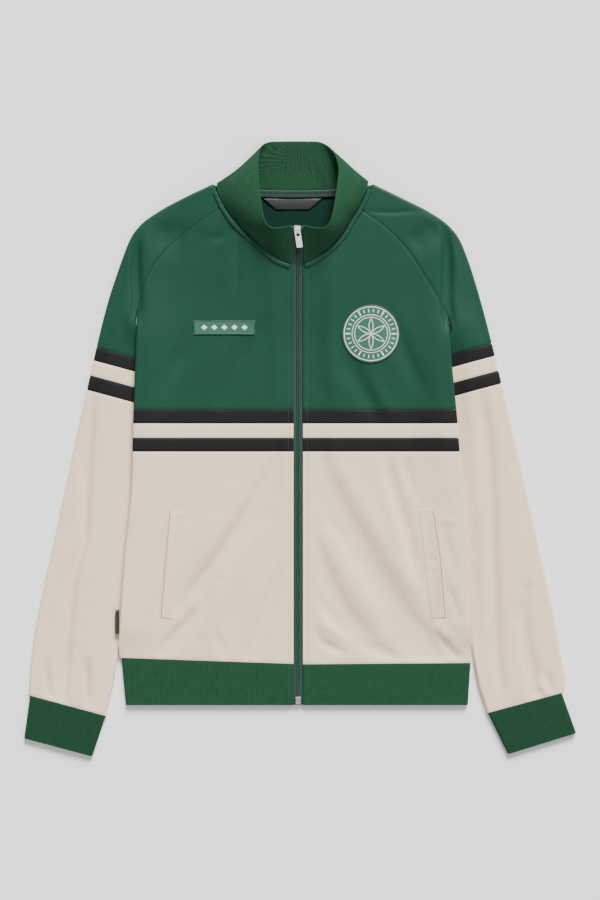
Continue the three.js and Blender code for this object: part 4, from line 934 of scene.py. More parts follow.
# Collar. A stand collar of the same rib knit, doubled, open at the front with the zip between its ends. It
# stands high at the front and lies back behind the neck, where it shows its inside.
COLLAR_CLOTH = 2.3
COLLAR_BULGE = 3.0
# Each station from the left front edge round the back: seam point below x y z, top point above x y z.
COLLAR_STATIONS = np.array((
    (-11.5, 249.9, 14, -11.9, 299, 36), (-31.7, 258.4, 14, -28, 295.5, 39.5),
    (-52.4, 275.7, 14, -38.5, 296, 42),
    (-78.2, 298.1, 13.5, -46, 304, 42), (-95.4, 318.7, 13, -50.3, 322, 39.5),
    (-107, 339.4, 11, -53, 343, 34),
    (-111.5, 352, 7, -55.3, 368, 26), (-111, 359.5, 3.5, -55, 392, 15.5),
    (-102, 358.5, 1.8, -50.5, 409, 8.5),
    (-82, 354.5, 1.6, -42, 415, 4), (-50, 351, 1.5, -26, 416.3, 1.8), (-8, 350, 1.5, -8, 416.5, 1.5),
    (32, 351, 1.5, 10, 416.3, 1.8), (62, 354.5, 1.6, 27, 415, 4), (82, 359.5, 1.8, 38, 408, 8.5),
    (91, 362, 3.5, 46, 397, 14), (91, 355, 7, 51, 379, 21), (86.5, 344, 10.5, 50.1, 361.8, 27.5),
    (79, 328, 12.5, 46.7, 336, 35), (68.2, 310.1, 13.2, 44, 318.7, 39.5), (54.4, 287.7, 13.8, 39, 302, 42),
    (37.3, 270.5, 14, 32, 295.5, 42), (20, 258.4, 14, 20, 295.5, 39.5), (4.3, 250.4, 14, 4.3, 299, 36),
), float)


def through(points, at):
    """A smooth path through the points, read at places from 0 to 1."""
    padded = np.concatenate([[2 * points[0] - points[1]], points, [2 * points[-1] - points[-2]]])
    place = np.asarray(at, float) * (len(points) - 1)
    i = np.clip(np.floor(place).astype(int), 0, len(points) - 2)
    t = (place - i)[:, None]
    p0, p1, p2, p3 = (padded[i + k] for k in range(4))
    d0, d1, d2 = (np.linalg.norm(b - a, axis=1, keepdims=True) ** 0.5
                  for a, b in ((p0, p1), (p1, p2), (p2, p3)))
    start = ((p1 - p0) / d0 - (p2 - p0) / (d0 + d1) + (p2 - p1) / d1) * d1
    end = ((p2 - p1) / d1 - (p3 - p1) / (d1 + d2) + (p3 - p2) / d2) * d1
    return p1 + start * t + (3 * (p2 - p1) - 2 * start - end) * t**2 + (2 * (p1 - p2) + start + end) * t**3


collar_columns = np.linspace(0.0, 1.0, 900)
collar_rows = places(60.0, 2.6)[:, None]
seam_line = through(COLLAR_STATIONS[:, :3], collar_columns)
top_line = through(COLLAR_STATIONS[:, 3:], collar_columns)
collar_grid = lerp(seam_line[None], top_line[None], collar_rows[..., None])
collar_normal = grid_slopes(collar_grid)
if collar_normal[:, :200, 2].sum() < 0:
    collar_normal = -collar_normal
near_zip = np.minimum(collar_columns, 1 - collar_columns) * 36
bow = COLLAR_BULGE * np.sin(math.pi * collar_rows) * smoothstep(collar_grid[..., 2], 6.0, 16.0)
bow = bow * smoothstep(near_zip, 0.0, 4.0)[None, :]
collar_grid = collar_grid + collar_normal * (bow + COLLAR_CLOTH / 2)[..., None]
collar = sheet_piece("collar_knit", ribbed(collar_grid), COLLAR_CLOTH, (0, 0, 1), (0, 0),
                     free_rows=(0, 1), free_columns=(1, 1))
finish_rib(collar, GREEN_RIB, ["collar"], *cut_size(collar))

# Neck trim. A narrow folded strip of green tricot is stitched over the outside of the collar seam, a woven
# tape covers it inside the back of the neck, and a plain black satin label hangs from the tape.
STRIP_INSET, STRIP_WIDTH, STRIP_HEIGHT = 1.6, 6.2, 1.5
STRIP_CUT = 0.0105
TAPE_GREEN = linear(16, 50, 40)
SATIN_BLACK = linear(40, 40, 42)


def woven(name, colour, pitch, roughness=0.7, sheen=0.0):
    """A close plain weave: two sets of threads that cross, shown as small shade changes and a fine
    relief."""
    material = bpy.data.materials.new(name)
    material.use_nodes = True
    tree = material.node_tree
    nodes, links = tree.nodes, tree.links
    shader = nodes["Principled BSDF"]
    shader.inputs["Roughness"].default_value = roughness
    shader.inputs["Sheen Weight"].default_value = sheen
    place = nodes.new("ShaderNodeUVMap")
    place.uv_map = "cloth"
    checks = nodes.new("ShaderNodeTexChecker")
    checks.inputs["Scale"].default_value = 1000.0 / pitch
    checks.inputs["Color1"].default_value = tuple(c * 0.8 for c in colour[:3]) + (1.0,)
    checks.inputs["Color2"].default_value = tuple(min(1.0, c * 1.2) for c in colour[:3]) + (1.0,)
    links.new(place.outputs["UV"], checks.inputs["Vector"])
    mottle = nodes.new("ShaderNodeTexNoise")
    mottle.inputs["Scale"].default_value = 300.0
    links.new(place.outputs["UV"], mottle.inputs["Vector"])
    shade = nodes.new("ShaderNodeMix")
    shade.data_type = "RGBA"
    shade.blend_type = "MULTIPLY"
    shade.inputs["Factor"].default_value = 0.3
    links.new(checks.outputs["Color"], shade.inputs["A"])
    links.new(mottle.outputs["Fac"], shade.inputs["B"])
    links.new(shade.outputs["Result"], shader.inputs["Base Color"])
    bump = nodes.new("ShaderNodeBump")
    bump.inputs["Strength"].default_value = 0.3
    bump.inputs["Distance"].default_value = 0.0001
    links.new(checks.outputs["Fac"], bump.inputs["Height"])
    links.new(bump.outputs["Normal"], shader.inputs["Normal"])
    return material


WOVEN_TAPE = woven("woven_tape", TAPE_GREEN, 0.5)
BLACK_SATIN = woven("black_satin", SATIN_BLACK, 0.25, roughness=0.4)
strip_across = np.linspace(0.0, 1.0, 9)
strip_profile = STRIP_HEIGHT * (1 - np.abs(2 * strip_across - 1) ** 3) ** 0.5
for side in SIGN:
    rows = COLLAR_STATIONS[(COLLAR_STATIONS[:, 0] * SIGN[side] > 0) & (COLLAR_STATIONS[:, 2] > 6), :2]
    rows = rows[::-1] if side == "right" else rows
    line = through(rows, np.linspace(0.0, 0.94, 90))
    run = np.gradient(line, axis=0)
    run = run / np.linalg.norm(run, axis=1, keepdims=True)
    outward = SIGN[side] * np.stack([run[:, 1], -run[:, 0]], -1)
    place = line[:, None] + outward[:, None] * (STRIP_INSET + STRIP_WIDTH * strip_across)[None, :, None]
    x, y = place[..., 0], place[..., 1]
    base = LAY + neck_rise(x, y) + np.maximum(0.0, relief(x, y)) + 0.1
    along = np.linspace(0.0, 1.0, 90)[:, None]
    wave = 0.12 * np.sin(61 * along) * np.sin(23 * along + 1.0)
    taper = smoothstep(np.minimum(along, 1 - along), 0.0, 0.012)
    top = np.stack([x, y, base + (0.45 + strip_profile[None, :] + wave) * lerp(0.5, 1.0, taper)], -1)
    strip = mesh_piece(f"neck_strip_{side}_cloth", [shell_part(top, np.stack([x, y, base], -1))])
    (shown_width, length), area = cut_size(strip)
    finish_cloth(strip, GREEN_TRICOT, "green_tricot", [f"neck_strip_{side}"], (STRIP_CUT, length), area)

tape_x = np.linspace(-93.0, 77.0, 60)[None, :]
tape_rows = np.linspace(0.0, 1.0, 9)[:, None]
tape_low = 339.4 + 3.4 * ((tape_x + 8.5) / 88) ** 2
tape_y = tape_low + 10.2 * tape_rows
tape_bow = 0.35 * (1 - np.abs(2 * tape_rows - 1) ** 4)
tape_groove = 0.5 * np.exp(-(((tape_rows - 0.5) / 0.09) ** 2))
tape_z = 3.1 + 1.0 * tape_rows + tape_bow - tape_groove
tape_top = np.stack([tape_x + 0 * tape_y, tape_y, tape_z + 0 * tape_y], -1)
tape = mesh_piece("neck_tape_cloth", [shell_part(tape_top, tape_top - np.array([0, 0, 0.9]))])
finish_cloth(tape, WOVEN_TAPE, "green_tricot", ["neck_tape"], (0.17, 0.0102))

LABEL_TOP = (-50.6, 30.2, 338.9)
LABEL_LOW = (-32.5, 12.2, 323.6)
label_across = np.linspace(0.0, 1.0, 30)[None, :]
label_rows = np.linspace(0.0, 1.0, 12)[:, None]
label_x = lerp(lerp(LABEL_LOW[0], LABEL_LOW[1], label_across),
               lerp(LABEL_TOP[0], LABEL_TOP[1], label_across), label_rows)
label_y = lerp(LABEL_LOW[2], LABEL_TOP[2], label_rows) + 0 * label_x
label_z = 2.2 + 0.5 * np.sin(math.pi * label_rows) + 0.25 * np.sin(7 * label_across + 1.2)
label_top = np.stack([label_x, label_y, label_z + 0 * label_x], -1)
label = mesh_piece("neck_label_satin", [shell_part(label_top, label_top - np.array([0, 0, 0.5]))])
finish_cloth(label, BLACK_SATIN, "black_satin", ["neck_label"], (0.081, 0.0155))

# Side label. A small loop of black satin, doubled and caught in the left side seam above the hem.
SIDE_LABEL_X, SIDE_LABEL_Y, SIDE_LABEL_LENGTH = (-249.3, -243.9), -233.0, 33.0
loop_turn = np.linspace(-math.pi / 2, math.pi / 2, 9)
loop_height = 10.5 + 0.55 * np.sin(loop_turn)
loop_x = np.concatenate([[SIDE_LABEL_X[1]], SIDE_LABEL_X[0] + 0.55 - 0.55 * np.cos(loop_turn),
                         [SIDE_LABEL_X[1]]])
loop_z = np.concatenate([[loop_height[0]], loop_height, [loop_height[-1]]])
loop_rows = np.linspace(0.0, 1.0, 10)[:, None]
loop_y = SIDE_LABEL_Y + SIDE_LABEL_LENGTH * (loop_rows - 0.5)
bend = 0.35 * np.sin(5.0 * loop_rows + 0.6)
loop_face = np.stack([loop_x[None] + 0 * loop_y, loop_y + 0 * loop_x[None], loop_z[None] + bend], -1)
loop_normal = grid_slopes(loop_face)
if loop_normal[:, 4, 0].sum() > 0:
    loop_normal = -loop_normal
side_label = mesh_piece("side_label_satin", [shell_part(loop_face, loop_face - loop_normal * 0.35)])
finish_cloth(side_label, BLACK_SATIN, "black_satin", ["side_label"], (0.011, 0.033))

# Pockets. Each slant pocket has a narrow welt of the cream tricot, open along its outer edge, where the
# pocket bag shows in a slit beside a thin lip, in a darker tan that is painted shade of the opening.
WELTS = {
    "left": (((-156, -84.8), (-170.8, -229.9)), ((-174.8, -84.2), (-181.6, -160.0), (-187.2, -227.9))),
    "right": (((159.8, -81), (176.6, -228.8)), ((178.7, -81), (187.9, -145), (195.2, -227.9))),
}
SLIT = 1.1
LIP = 2.0
# Painted shade: the strip in each slit stands for the pocket bag, darkened to the tan of the shadow inside
# the opening.
SHADOW_TAN = linear(178, 148, 118)
POCKET_BAG_SHADE = tricot("pocket_bag_painted_shade", SHADOW_TAN, roughness=0.8, sheen=0.0)


def along_line(points, t):
    """Places along a short polyline, at parts t of its length."""
    points = np.array(points, float)
    path = np.concatenate([[0.0], np.cumsum(np.linalg.norm(np.diff(points, axis=0), axis=1))])
    return np.stack([np.interp(t * path[-1], path, points[:, i]) for i in (0, 1)], -1)


for side in SIGN:
    t = places(146.0, GRAIN)
    inner, outer = (along_line(line, t) for line in WELTS[side])
    away = SIGN[side] * np.array([1.0, 0.0])
    ends = np.minimum(from_ends(np.stack([outer, outer], 1), 0)[0],
                      from_ends(np.stack([outer, outer], 1), 0)[1])[:, :1]
    at_end = smoothstep(ends, 0.0, 1.2)
    u = places(17.5, 2.0)[None, :]
    welt = lerp(inner[:, None], outer[:, None], u[..., None])
    open_edge = smoothstep(u, 0.4, 1.0)
    sewn = 0.25 + 0.75 * smoothstep(u * 17.5, 0.0, 1.6)
    lift = (0.75 + 0.55 * open_edge) * sewn * lerp(0.3, 1.0, at_end)
    lift = lift - 0.5 * np.clip(1 - (1 - u) * 17.5 / 0.6, 0, 1) ** 2
    floor_z = front_top(welt[..., 0], welt[..., 1]) - 0.15
    face = np.concatenate([welt, (floor_z + 0.15 + lift)[..., None]], -1)
    back = np.concatenate([welt, floor_z[..., None]], -1)
    lip_u = np.linspace(0.0, 1.0, 6)[None, :]
    lip = outer[:, None] + away * (SLIT + LIP * lip_u)[..., None]
    lip_floor = front_top(lip[..., 0], lip[..., 1]) - 0.15
    lip_lift = 0.15 + 0.7 * np.sin(math.pi * lerp(0.18, 1.0, lip_u)) * smoothstep(ends, 0.0, 5.0)
    bag = outer[:, None] + away * np.array([[-0.4], [SLIT + 0.4]])[None]
    bag_floor = front_top(bag[..., 0], bag[..., 1]) - 0.15
    parts = [
        shell_part(face, back),
        shell_part(np.concatenate([lip, (lip_floor + lip_lift)[..., None]], -1),
                   np.concatenate([lip, lip_floor[..., None]], -1)),
        shell_part(np.concatenate([bag, (bag_floor + 0.22)[..., None]], -1),
                   np.concatenate([bag, bag_floor[..., None]], -1)),
    ]
    pocket = mesh_piece(f"pocket_{side}_cloth", parts, [0, 0, 1])
    pocket.data.materials.append(CREAM_TRICOT)
    pocket.data.materials.append(POCKET_BAG_SHADE)
    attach(pocket, "jacket")
    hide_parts(f"pocket_welt_{side}")

# Patches. Two green patches are sewn on the chest with overlocked edges and white satin-stitch embroidery: a
# small bar with a row of diamonds, and a round one with a drawn rosette inside rings. Both designs are
# generic.
CHEST_PATCH = (-102.1, 163.8, 83.6, 18.9)
CREST_X, CREST_Y, CREST_RADIUS = 95.8, 155.4, 39.0
PATCH_CLOTH = 1.0
EDGE_WIDTH = 1.7
THREAD_WHITE = linear(232, 232, 228)
PATCH_GREEN = linear(38, 98, 72)
EDGE_GREEN = linear(27, 74, 54)


def embroidery(name, colour, pitch=0.55):
    """Satin stitch: shiny threads side by side, across the direction of each line, with painted shade in the
    low lines between them.
    """
    material = bpy.data.materials.new(name)
    material.use_nodes = True
    tree = material.node_tree
    nodes, links = tree.nodes, tree.links
    shader = nodes["Principled BSDF"]
    shader.inputs["Roughness"].default_value = 0.42
    shader.inputs["Sheen Weight"].default_value = 0.1
    place = nodes.new("ShaderNodeUVMap")
    place.uv_map = "cloth"
    threads = nodes.new("ShaderNodeTexWave")
    threads.bands_direction = "Y"
    threads.inputs["Scale"].default_value = 1000.0 / pitch / (2 * math.pi)
    threads.inputs["Distortion"].default_value = 1.2
    threads.inputs["Detail"].default_value = 1.0
    links.new(place.outputs["UV"], threads.inputs["Vector"])
    # Painted shade: the colour darkens where the thread relief is low.
    shade = nodes.new("ShaderNodeMix")
    shade.data_type = "RGBA"
    shade.inputs["A"].default_value = tuple(c * 0.7 for c in colour[:3]) + (1.0,)
    shade.inputs["B"].default_value = colour
    links.new(threads.outputs["Fac"], shade.inputs["Factor"])
    links.new(shade.outputs["Result"], shader.inputs["Base Color"])
    bump = nodes.new("ShaderNodeBump")
    bump.inputs["Strength"].default_value = 0.4
    bump.inputs["Distance"].default_value = 0.0002
    links.new(threads.outputs["Fac"], bump.inputs["Height"])
    links.new(bump.outputs["Normal"], shader.inputs["Normal"])
    return material


def stitched_line(line, width, low, height, wobble=0.0):
    """A domed line of satin stitch along points on the front, from low above the cloth."""
    line = np.asarray(line, float)
    run = np.gradient(line, axis=0)
    if np.allclose(line[0], line[-1]):
        run[0] = run[-1] = line[1] - line[-2]
    run = run / np.linalg.norm(run, axis=1, keepdims=True)
    side = np.stack([-run[:, 1], run[:, 0]], -1)
    u = np.array([-1.0, -0.75, 0.0, 0.75, 1.0])
    ragged = 1 + wobble * np.sin(2.3 * np.arange(len(line)))[:, None]
    place = line[:, None] + side[:, None] * (0.5 * width * u[None, :] * ragged)[..., None]
    top = front_top(place[..., 0], place[..., 1])
    dome = height * np.sqrt(1 - 0.97 * u**2)[None, :]
    face = np.concatenate([place, (top + low + dome)[..., None]], -1)
    return shell_part(face, np.concatenate([place, (top + low - 0.15)[..., None]], -1))


def circle(radius, start=0.0, turn=2 * math.pi, count=96, middle=(CREST_X, CREST_Y)):
    angle = start + turn * np.linspace(0.0, 1.0, count)
    return np.stack([middle[0] + radius * np.cos(angle), middle[1] + radius * np.sin(angle)], -1)


def patch_part(place, edge_distance):
    top = front_top(place[..., 0], place[..., 1])
    drawn = 0.5 * np.clip(1 - edge_distance / 0.6, 0, 1) ** 2
    face = np.concatenate([place, (top + 0.1 + PATCH_CLOTH - drawn)[..., None]], -1)
    return shell_part(face, np.concatenate([place, (top - 0.2)[..., None]], -1))


def finish_patch(piece, node):
    for material in (PATCH_TWILL, EDGE_THREAD, WHITE_THREAD):
        piece.data.materials.append(material)
    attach(piece, "jacket")
    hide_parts(node)


PATCH_TWILL = woven("patch_twill", PATCH_GREEN, 0.6, roughness=0.6)
EDGE_THREAD = embroidery("edge_thread", EDGE_GREEN, 0.8)
WHITE_THREAD = embroidery("white_thread", THREAD_WHITE)
patch_x, patch_y, patch_width, patch_height = CHEST_PATCH
u, v = np.meshgrid(places(patch_width, 2.5), places(patch_height, 2.0))
inset = np.minimum(np.minimum(u, 1 - u) * patch_width, np.minimum(v, 1 - v) * patch_height)
flat = np.stack([patch_x + (u - 0.5) * patch_width, patch_y + (v - 0.5) * patch_height], -1)
parts = [patch_part(flat, inset)]
corner = 2.2
half_width = patch_width / 2 - EDGE_WIDTH / 2 - corner
half_height = patch_height / 2 - EDGE_WIDTH / 2 - corner
corners = ((half_width, half_height, 0), (-half_width, half_height, 1), (-half_width, -half_height, 2),
           (half_width, -half_height, 3))
border = np.concatenate([
    circle(corner, turn_index * math.pi / 2, math.pi / 2, 8, (patch_x + x, patch_y + y))
    for x, y, turn_index in corners
])
border = np.concatenate([border, border[:1]])
gaps = np.concatenate([[0.0], np.cumsum(np.linalg.norm(np.diff(border, axis=0), axis=1))])
even = np.linspace(0.0, gaps[-1], 200)
border = np.stack([np.interp(even, gaps, border[:, i]) for i in (0, 1)], -1)
parts.append(stitched_line(border, EDGE_WIDTH, 0.9, 0.55, 0.04))
materials_used = [0, 1]
DIAMOND = 4.1
grid_u, grid_v = np.meshgrid(np.linspace(-1, 1, 9), np.linspace(-1, 1, 9))
for i in range(5):
    place = np.stack([patch_x + 13.6 * (i - 2) + 0.5 * DIAMOND * (grid_u - grid_v) * 1.15,
                      patch_y + 0.5 * DIAMOND * (grid_u + grid_v)], -1)
    top = front_top(place[..., 0], place[..., 1]) + 0.95
    dome = 0.6 * np.sqrt(np.clip(1 - np.maximum(np.abs(grid_u), np.abs(grid_v)) ** 4, 0, 1))
    parts.append(shell_part(np.concatenate([place, (top + dome)[..., None]], -1),
                            np.concatenate([place, (top - 0.1)[..., None]], -1)))
    materials_used.append(2)
chest = mesh_piece("chest_patch_cloth", parts, materials_used)
finish_patch(chest, "chest_patch")

u, v = np.meshgrid(np.linspace(-1, 1, 41), np.linspace(-1, 1, 41))
disc = np.stack([u * np.sqrt(1 - v**2 / 2), v * np.sqrt(1 - u**2 / 2)], -1)
ring_place = np.linalg.norm(disc, axis=2)
parts = [patch_part(disc * (CREST_RADIUS - 0.4) + np.array([CREST_X, CREST_Y]),
                    (1 - ring_place) * CREST_RADIUS)]
materials_used = [0]


def add_crest_line(line, width, material=2, low=0.95, height=0.5, wobble=0.0):
    parts.append(stitched_line(line, width, low, height, wobble))
    materials_used.append(material)


add_crest_line(circle(CREST_RADIUS - EDGE_WIDTH / 2 + 0.2, count=220), EDGE_WIDTH, 1, 0.85, 0.6, 0.04)
add_crest_line(circle(36.3, count=160), 1.5)
add_crest_line(circle(25.6, count=130), 1.2)
add_crest_line(circle(22.2, count=120), 1.2)
DASHES = 30
for i in range(DASHES):
    angle = 2 * math.pi * i / DASHES
    reach_in, reach_out = (28.6, 33.4) if i % 5 else (27.4, 34.6)
    ends = [circle(radius, angle, 0.0, 1)[0] for radius in (reach_in, reach_out)]
    add_crest_line(lerp(ends[0], ends[1], np.linspace(0, 1, 6)[:, None]), 1.5 if i % 5 else 2.2)
PETAL = 20.4
for i in range(6):
    angle = i * math.pi / 3 + math.pi / 6
    middle = circle(PETAL, angle, 0.0, 1)[0]
    add_crest_line(circle(PETAL, angle + 2 * math.pi / 3, 2 * math.pi / 3, 40, middle), 1.2)
crest = mesh_piece("crest_patch_cloth", parts, materials_used)
finish_patch(crest, "crest_patch")

# Zip. A coil zip on woven tapes is sewn behind both front edges and up the collar. Its nickel slider sits at
# the top with a flat tab, and its box closes the lower end.
TAPE_WIDTH, TAPE_WALL = 10.4, 0.8
TAPE_BELOW, TAPE_BELOW_COLLAR = 3.1, 3.3
COLLAR_FOOT_Y, COLLAR_FOOT_Z = 249.9, 14.0
COLLAR_SLOPE = 22.0 / 49.1
ZIP_LOW, ZIP_HIGH = -345.0, 298.0
COIL_LOW, COIL_HIGH = -334.6, 288.6
COIL_PITCH = 1.5
ZIP_GREEN = linear(22, 58, 47)
COIL_GREEN = linear(30, 68, 57)


def tape_height(y):
    body = front_top(np.full_like(y, ZIP_X), np.minimum(y, 248.0)) - TAPE_BELOW
    return np.maximum(body, COLLAR_FOOT_Z + (y - COLLAR_FOOT_Y) * COLLAR_SLOPE - TAPE_BELOW_COLLAR)


def coil_nylon(name, colour):
    """Moulded nylon coil: smooth, a little shiny."""
    material = bpy.data.materials.new(name)
    material.use_nodes = True
    tree = material.node_tree
    nodes, links = tree.nodes, tree.links
    shader = nodes["Principled BSDF"]
    shader.inputs["Roughness"].default_value = 0.38
    place = nodes.new("ShaderNodeTexCoord")
    mottle = nodes.new("ShaderNodeTexNoise")
    mottle.inputs["Scale"].default_value = 260.0
    links.new(place.outputs["Object"], mottle.inputs["Vector"])
    shade = nodes.new("ShaderNodeMix")
    shade.data_type = "RGBA"
    shade.inputs["A"].default_value = tuple(c * 0.75 for c in colour[:3]) + (1.0,)
    shade.inputs["B"].default_value = tuple(c * 1.15 for c in colour[:3]) + (1.0,)
    links.new(mottle.outputs["Fac"], shade.inputs["Factor"])
    links.new(shade.outputs["Result"], shader.inputs["Base Color"])
    return material


def nodes_tree(name, inputs):
    tree = bpy.data.node_groups.new(name, "GeometryNodeTree")
    for label, kind in inputs:
        tree.interface.new_socket(name=label, in_out="INPUT", socket_type=kind)
    tree.interface.new_socket(name="Geometry", in_out="OUTPUT", socket_type="NodeSocketGeometry")
    return tree, tree.nodes.new("NodeGroupInput"), tree.nodes.new("NodeGroupOutput")


def line_object(name, lines):
    """An object of edges along each line of points in millimetres."""
    points = np.concatenate(lines) * 0.001
    edges, start = [], 0
    for line in lines:
        edges += [(start + i, start + i + 1) for i in range(len(line) - 1)]
        start += len(line)
    mesh = bpy.data.meshes.new(name)
    mesh.from_pydata(points.tolist(), edges, [])
    piece = bpy.data.objects.new(name, mesh)
    bpy.context.scene.collection.objects.link(piece)
    return piece


def apply_nodes(piece, tree, values):
    """Runs a geometry tree on a piece with the named values, and keeps the result as a plain mesh."""
    modifier = piece.modifiers.new("repeat", "NODES")
    modifier.node_group = tree
    for item in tree.interface.items_tree:
        if item.in_out == "INPUT" and item.name in values:
            modifier[item.identifier] = values[item.name]
    evaluated = piece.evaluated_get(bpy.context.evaluated_depsgraph_get())
    mesh = bpy.data.meshes.new_from_object(evaluated)
    piece.modifiers.remove(modifier)
    piece.data = mesh
    piece.data.polygons.foreach_set("use_smooth", np.ones(len(mesh.polygons), bool))


def coil_tree():
    """Two slanted bars per pitch along a line: the loops of the two coils where they meet."""
    tree, given, result = nodes_tree("zip_coil",
                                     (("Line", "NodeSocketGeometry"), ("Pitch", "NodeSocketFloat"),
                                                  ("Nylon", "NodeSocketMaterial")))
    nodes, links = tree.nodes, tree.links
    curve_node = nodes.new("GeometryNodeMeshToCurve")
    links.new(given.outputs["Line"], curve_node.inputs["Mesh"])
    points = nodes.new("GeometryNodeCurveToPoints")
    points.mode = "LENGTH"
    links.new(curve_node.outputs["Curve"], points.inputs["Curve"])
    links.new(given.outputs["Pitch"], points.inputs["Length"])
    join = nodes.new("GeometryNodeJoinGeometry")
    for sign in (-1.0, 1.0):
        bar = nodes.new("GeometryNodeMeshUVSphere")
        bar.inputs["Segments"].default_value = 8
        bar.inputs["Rings"].default_value = 4
        bar.inputs["Radius"].default_value = 0.001
        place = nodes.new("GeometryNodeTransform")
        place.inputs["Scale"].default_value = (1.75, 0.5, 0.75)
        place.inputs["Rotation"].default_value = (0.0, 0.0, sign * math.radians(24))
        place.inputs["Translation"].default_value = (sign * 0.00115, sign * 0.00037, 0.0)
        links.new(bar.outputs["Mesh"], place.inputs["Geometry"])
        links.new(place.outputs["Geometry"], join.inputs["Geometry"])
    place_all = nodes.new("GeometryNodeInstanceOnPoints")
    links.new(points.outputs["Points"], place_all.inputs["Points"])
    links.new(join.outputs["Geometry"], place_all.inputs["Instance"])
    real = nodes.new("GeometryNodeRealizeInstances")
    links.new(place_all.outputs["Instances"], real.inputs["Geometry"])
    dress = nodes.new("GeometryNodeSetMaterial")
    links.new(real.outputs["Geometry"], dress.inputs["Geometry"])
    links.new(given.outputs["Nylon"], dress.inputs["Material"])
    links.new(dress.outputs["Geometry"], result.inputs["Geometry"])
    return tree


ZIP_TAPE = woven("zip_tape_weave", ZIP_GREEN, 0.7)
tape_y = np.linspace(ZIP_LOW, ZIP_HIGH, 220)[:, None]
for side in SIGN:
    tape_out = np.array([0.15, 2.6, 3.0, 5.0, 9.0, TAPE_WIDTH])[None, :]
    bead = 0.25 * np.exp(-(((tape_out - 3.0) / 0.5) ** 2))
    tape_mid = tape_height(tape_y) + bead
    face = np.stack([ZIP_X + SIGN[side] * tape_out + 0 * tape_y, tape_y + 0 * tape_out,
                     tape_mid + TAPE_WALL / 2], -1)
    zip_tape = mesh_piece(f"zip_tape_{side}_weave", [shell_part(face, face - np.array([0, 0, TAPE_WALL]))])
    finish_cloth(zip_tape, ZIP_TAPE, "zip_green", [f"zip_tape_{side}"], *cut_size(zip_tape))

COIL = coil_nylon("zip_coil_nylon", COIL_GREEN)
coil_y = np.linspace(COIL_LOW, COIL_HIGH, 200)
coil_line = np.stack([np.full_like(coil_y, ZIP_X), coil_y, tape_height(coil_y) + 1.25], -1)
coil = line_object("zip_coil", [coil_line])
apply_nodes(coil, coil_tree(), {"Pitch": COIL_PITCH * 0.001, "Nylon": COIL})
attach(coil, "jacket")
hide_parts("zip_chain")


def nickel(name):
    """Polished nickel with faint cloudy wear."""
    material = bpy.data.materials.new(name)
    material.use_nodes = True
    tree = material.node_tree
    nodes, links = tree.nodes, tree.links
    shader = nodes["Principled BSDF"]
    shader.inputs["Base Color"].default_value = (0.78, 0.75, 0.74, 1.0)
    shader.inputs["Metallic"].default_value = 1.0
    place = nodes.new("ShaderNodeTexCoord")
    wear = nodes.new("ShaderNodeTexNoise")
    wear.inputs["Scale"].default_value = 500.0
    wear.inputs["Detail"].default_value = 6.0
    links.new(place.outputs["Object"], wear.inputs["Vector"])
    rough = nodes.new("ShaderNodeMapRange")
    rough.inputs["To Min"].default_value = 0.2
    rough.inputs["To Max"].default_value = 0.38
    links.new(wear.outputs["Fac"], rough.inputs["Value"])
    links.new(rough.outputs["Result"], shader.inputs["Roughness"])
    return material


NICKEL = nickel("nickel")
for name, body in (("zip_slider", "jacket"), ("zip_pull", "pull"), ("zip_box", "jacket")):
    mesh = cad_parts[name].data.copy()
    merged = bmesh.new()
    merged.from_mesh(mesh)
    bmesh.ops.remove_doubles(merged, verts=merged.verts, dist=0.00001)
    bmesh.ops.dissolve_limit(merged, angle_limit=math.radians(1), verts=merged.verts, edges=merged.edges)
    merged.to_mesh(mesh)
    merged.free()
    mesh.materials.clear()
    mesh.materials.append(NICKEL)
    mesh.polygons.foreach_set("use_smooth", np.ones(len(mesh.polygons), bool))
    part = bpy.data.objects.new(f"{name}_metal", mesh)
    bpy.context.scene.collection.objects.link(part)
    bevel = part.modifiers.new("soft_edges", "BEVEL")
    bevel.width = 0.00028
    bevel.segments = 3
    bevel.limit_method = "ANGLE"
    bevel.angle_limit = math.radians(30)
    bevel.harden_normals = True
    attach(part, body)
    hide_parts(name)

# Topstitching. Lockstitch rows hold the front edges to the zip tapes, down to the lower edge of the rib, the
# neck tape inside, the strips over the collar seam and the ends of the pockets.
STITCH_PITCH = 3.1
GREEN_THREAD = coil_nylon("green_thread", linear(72, 96, 84))
CREAM_THREAD = coil_nylon("cream_thread", linear(205, 192, 178))


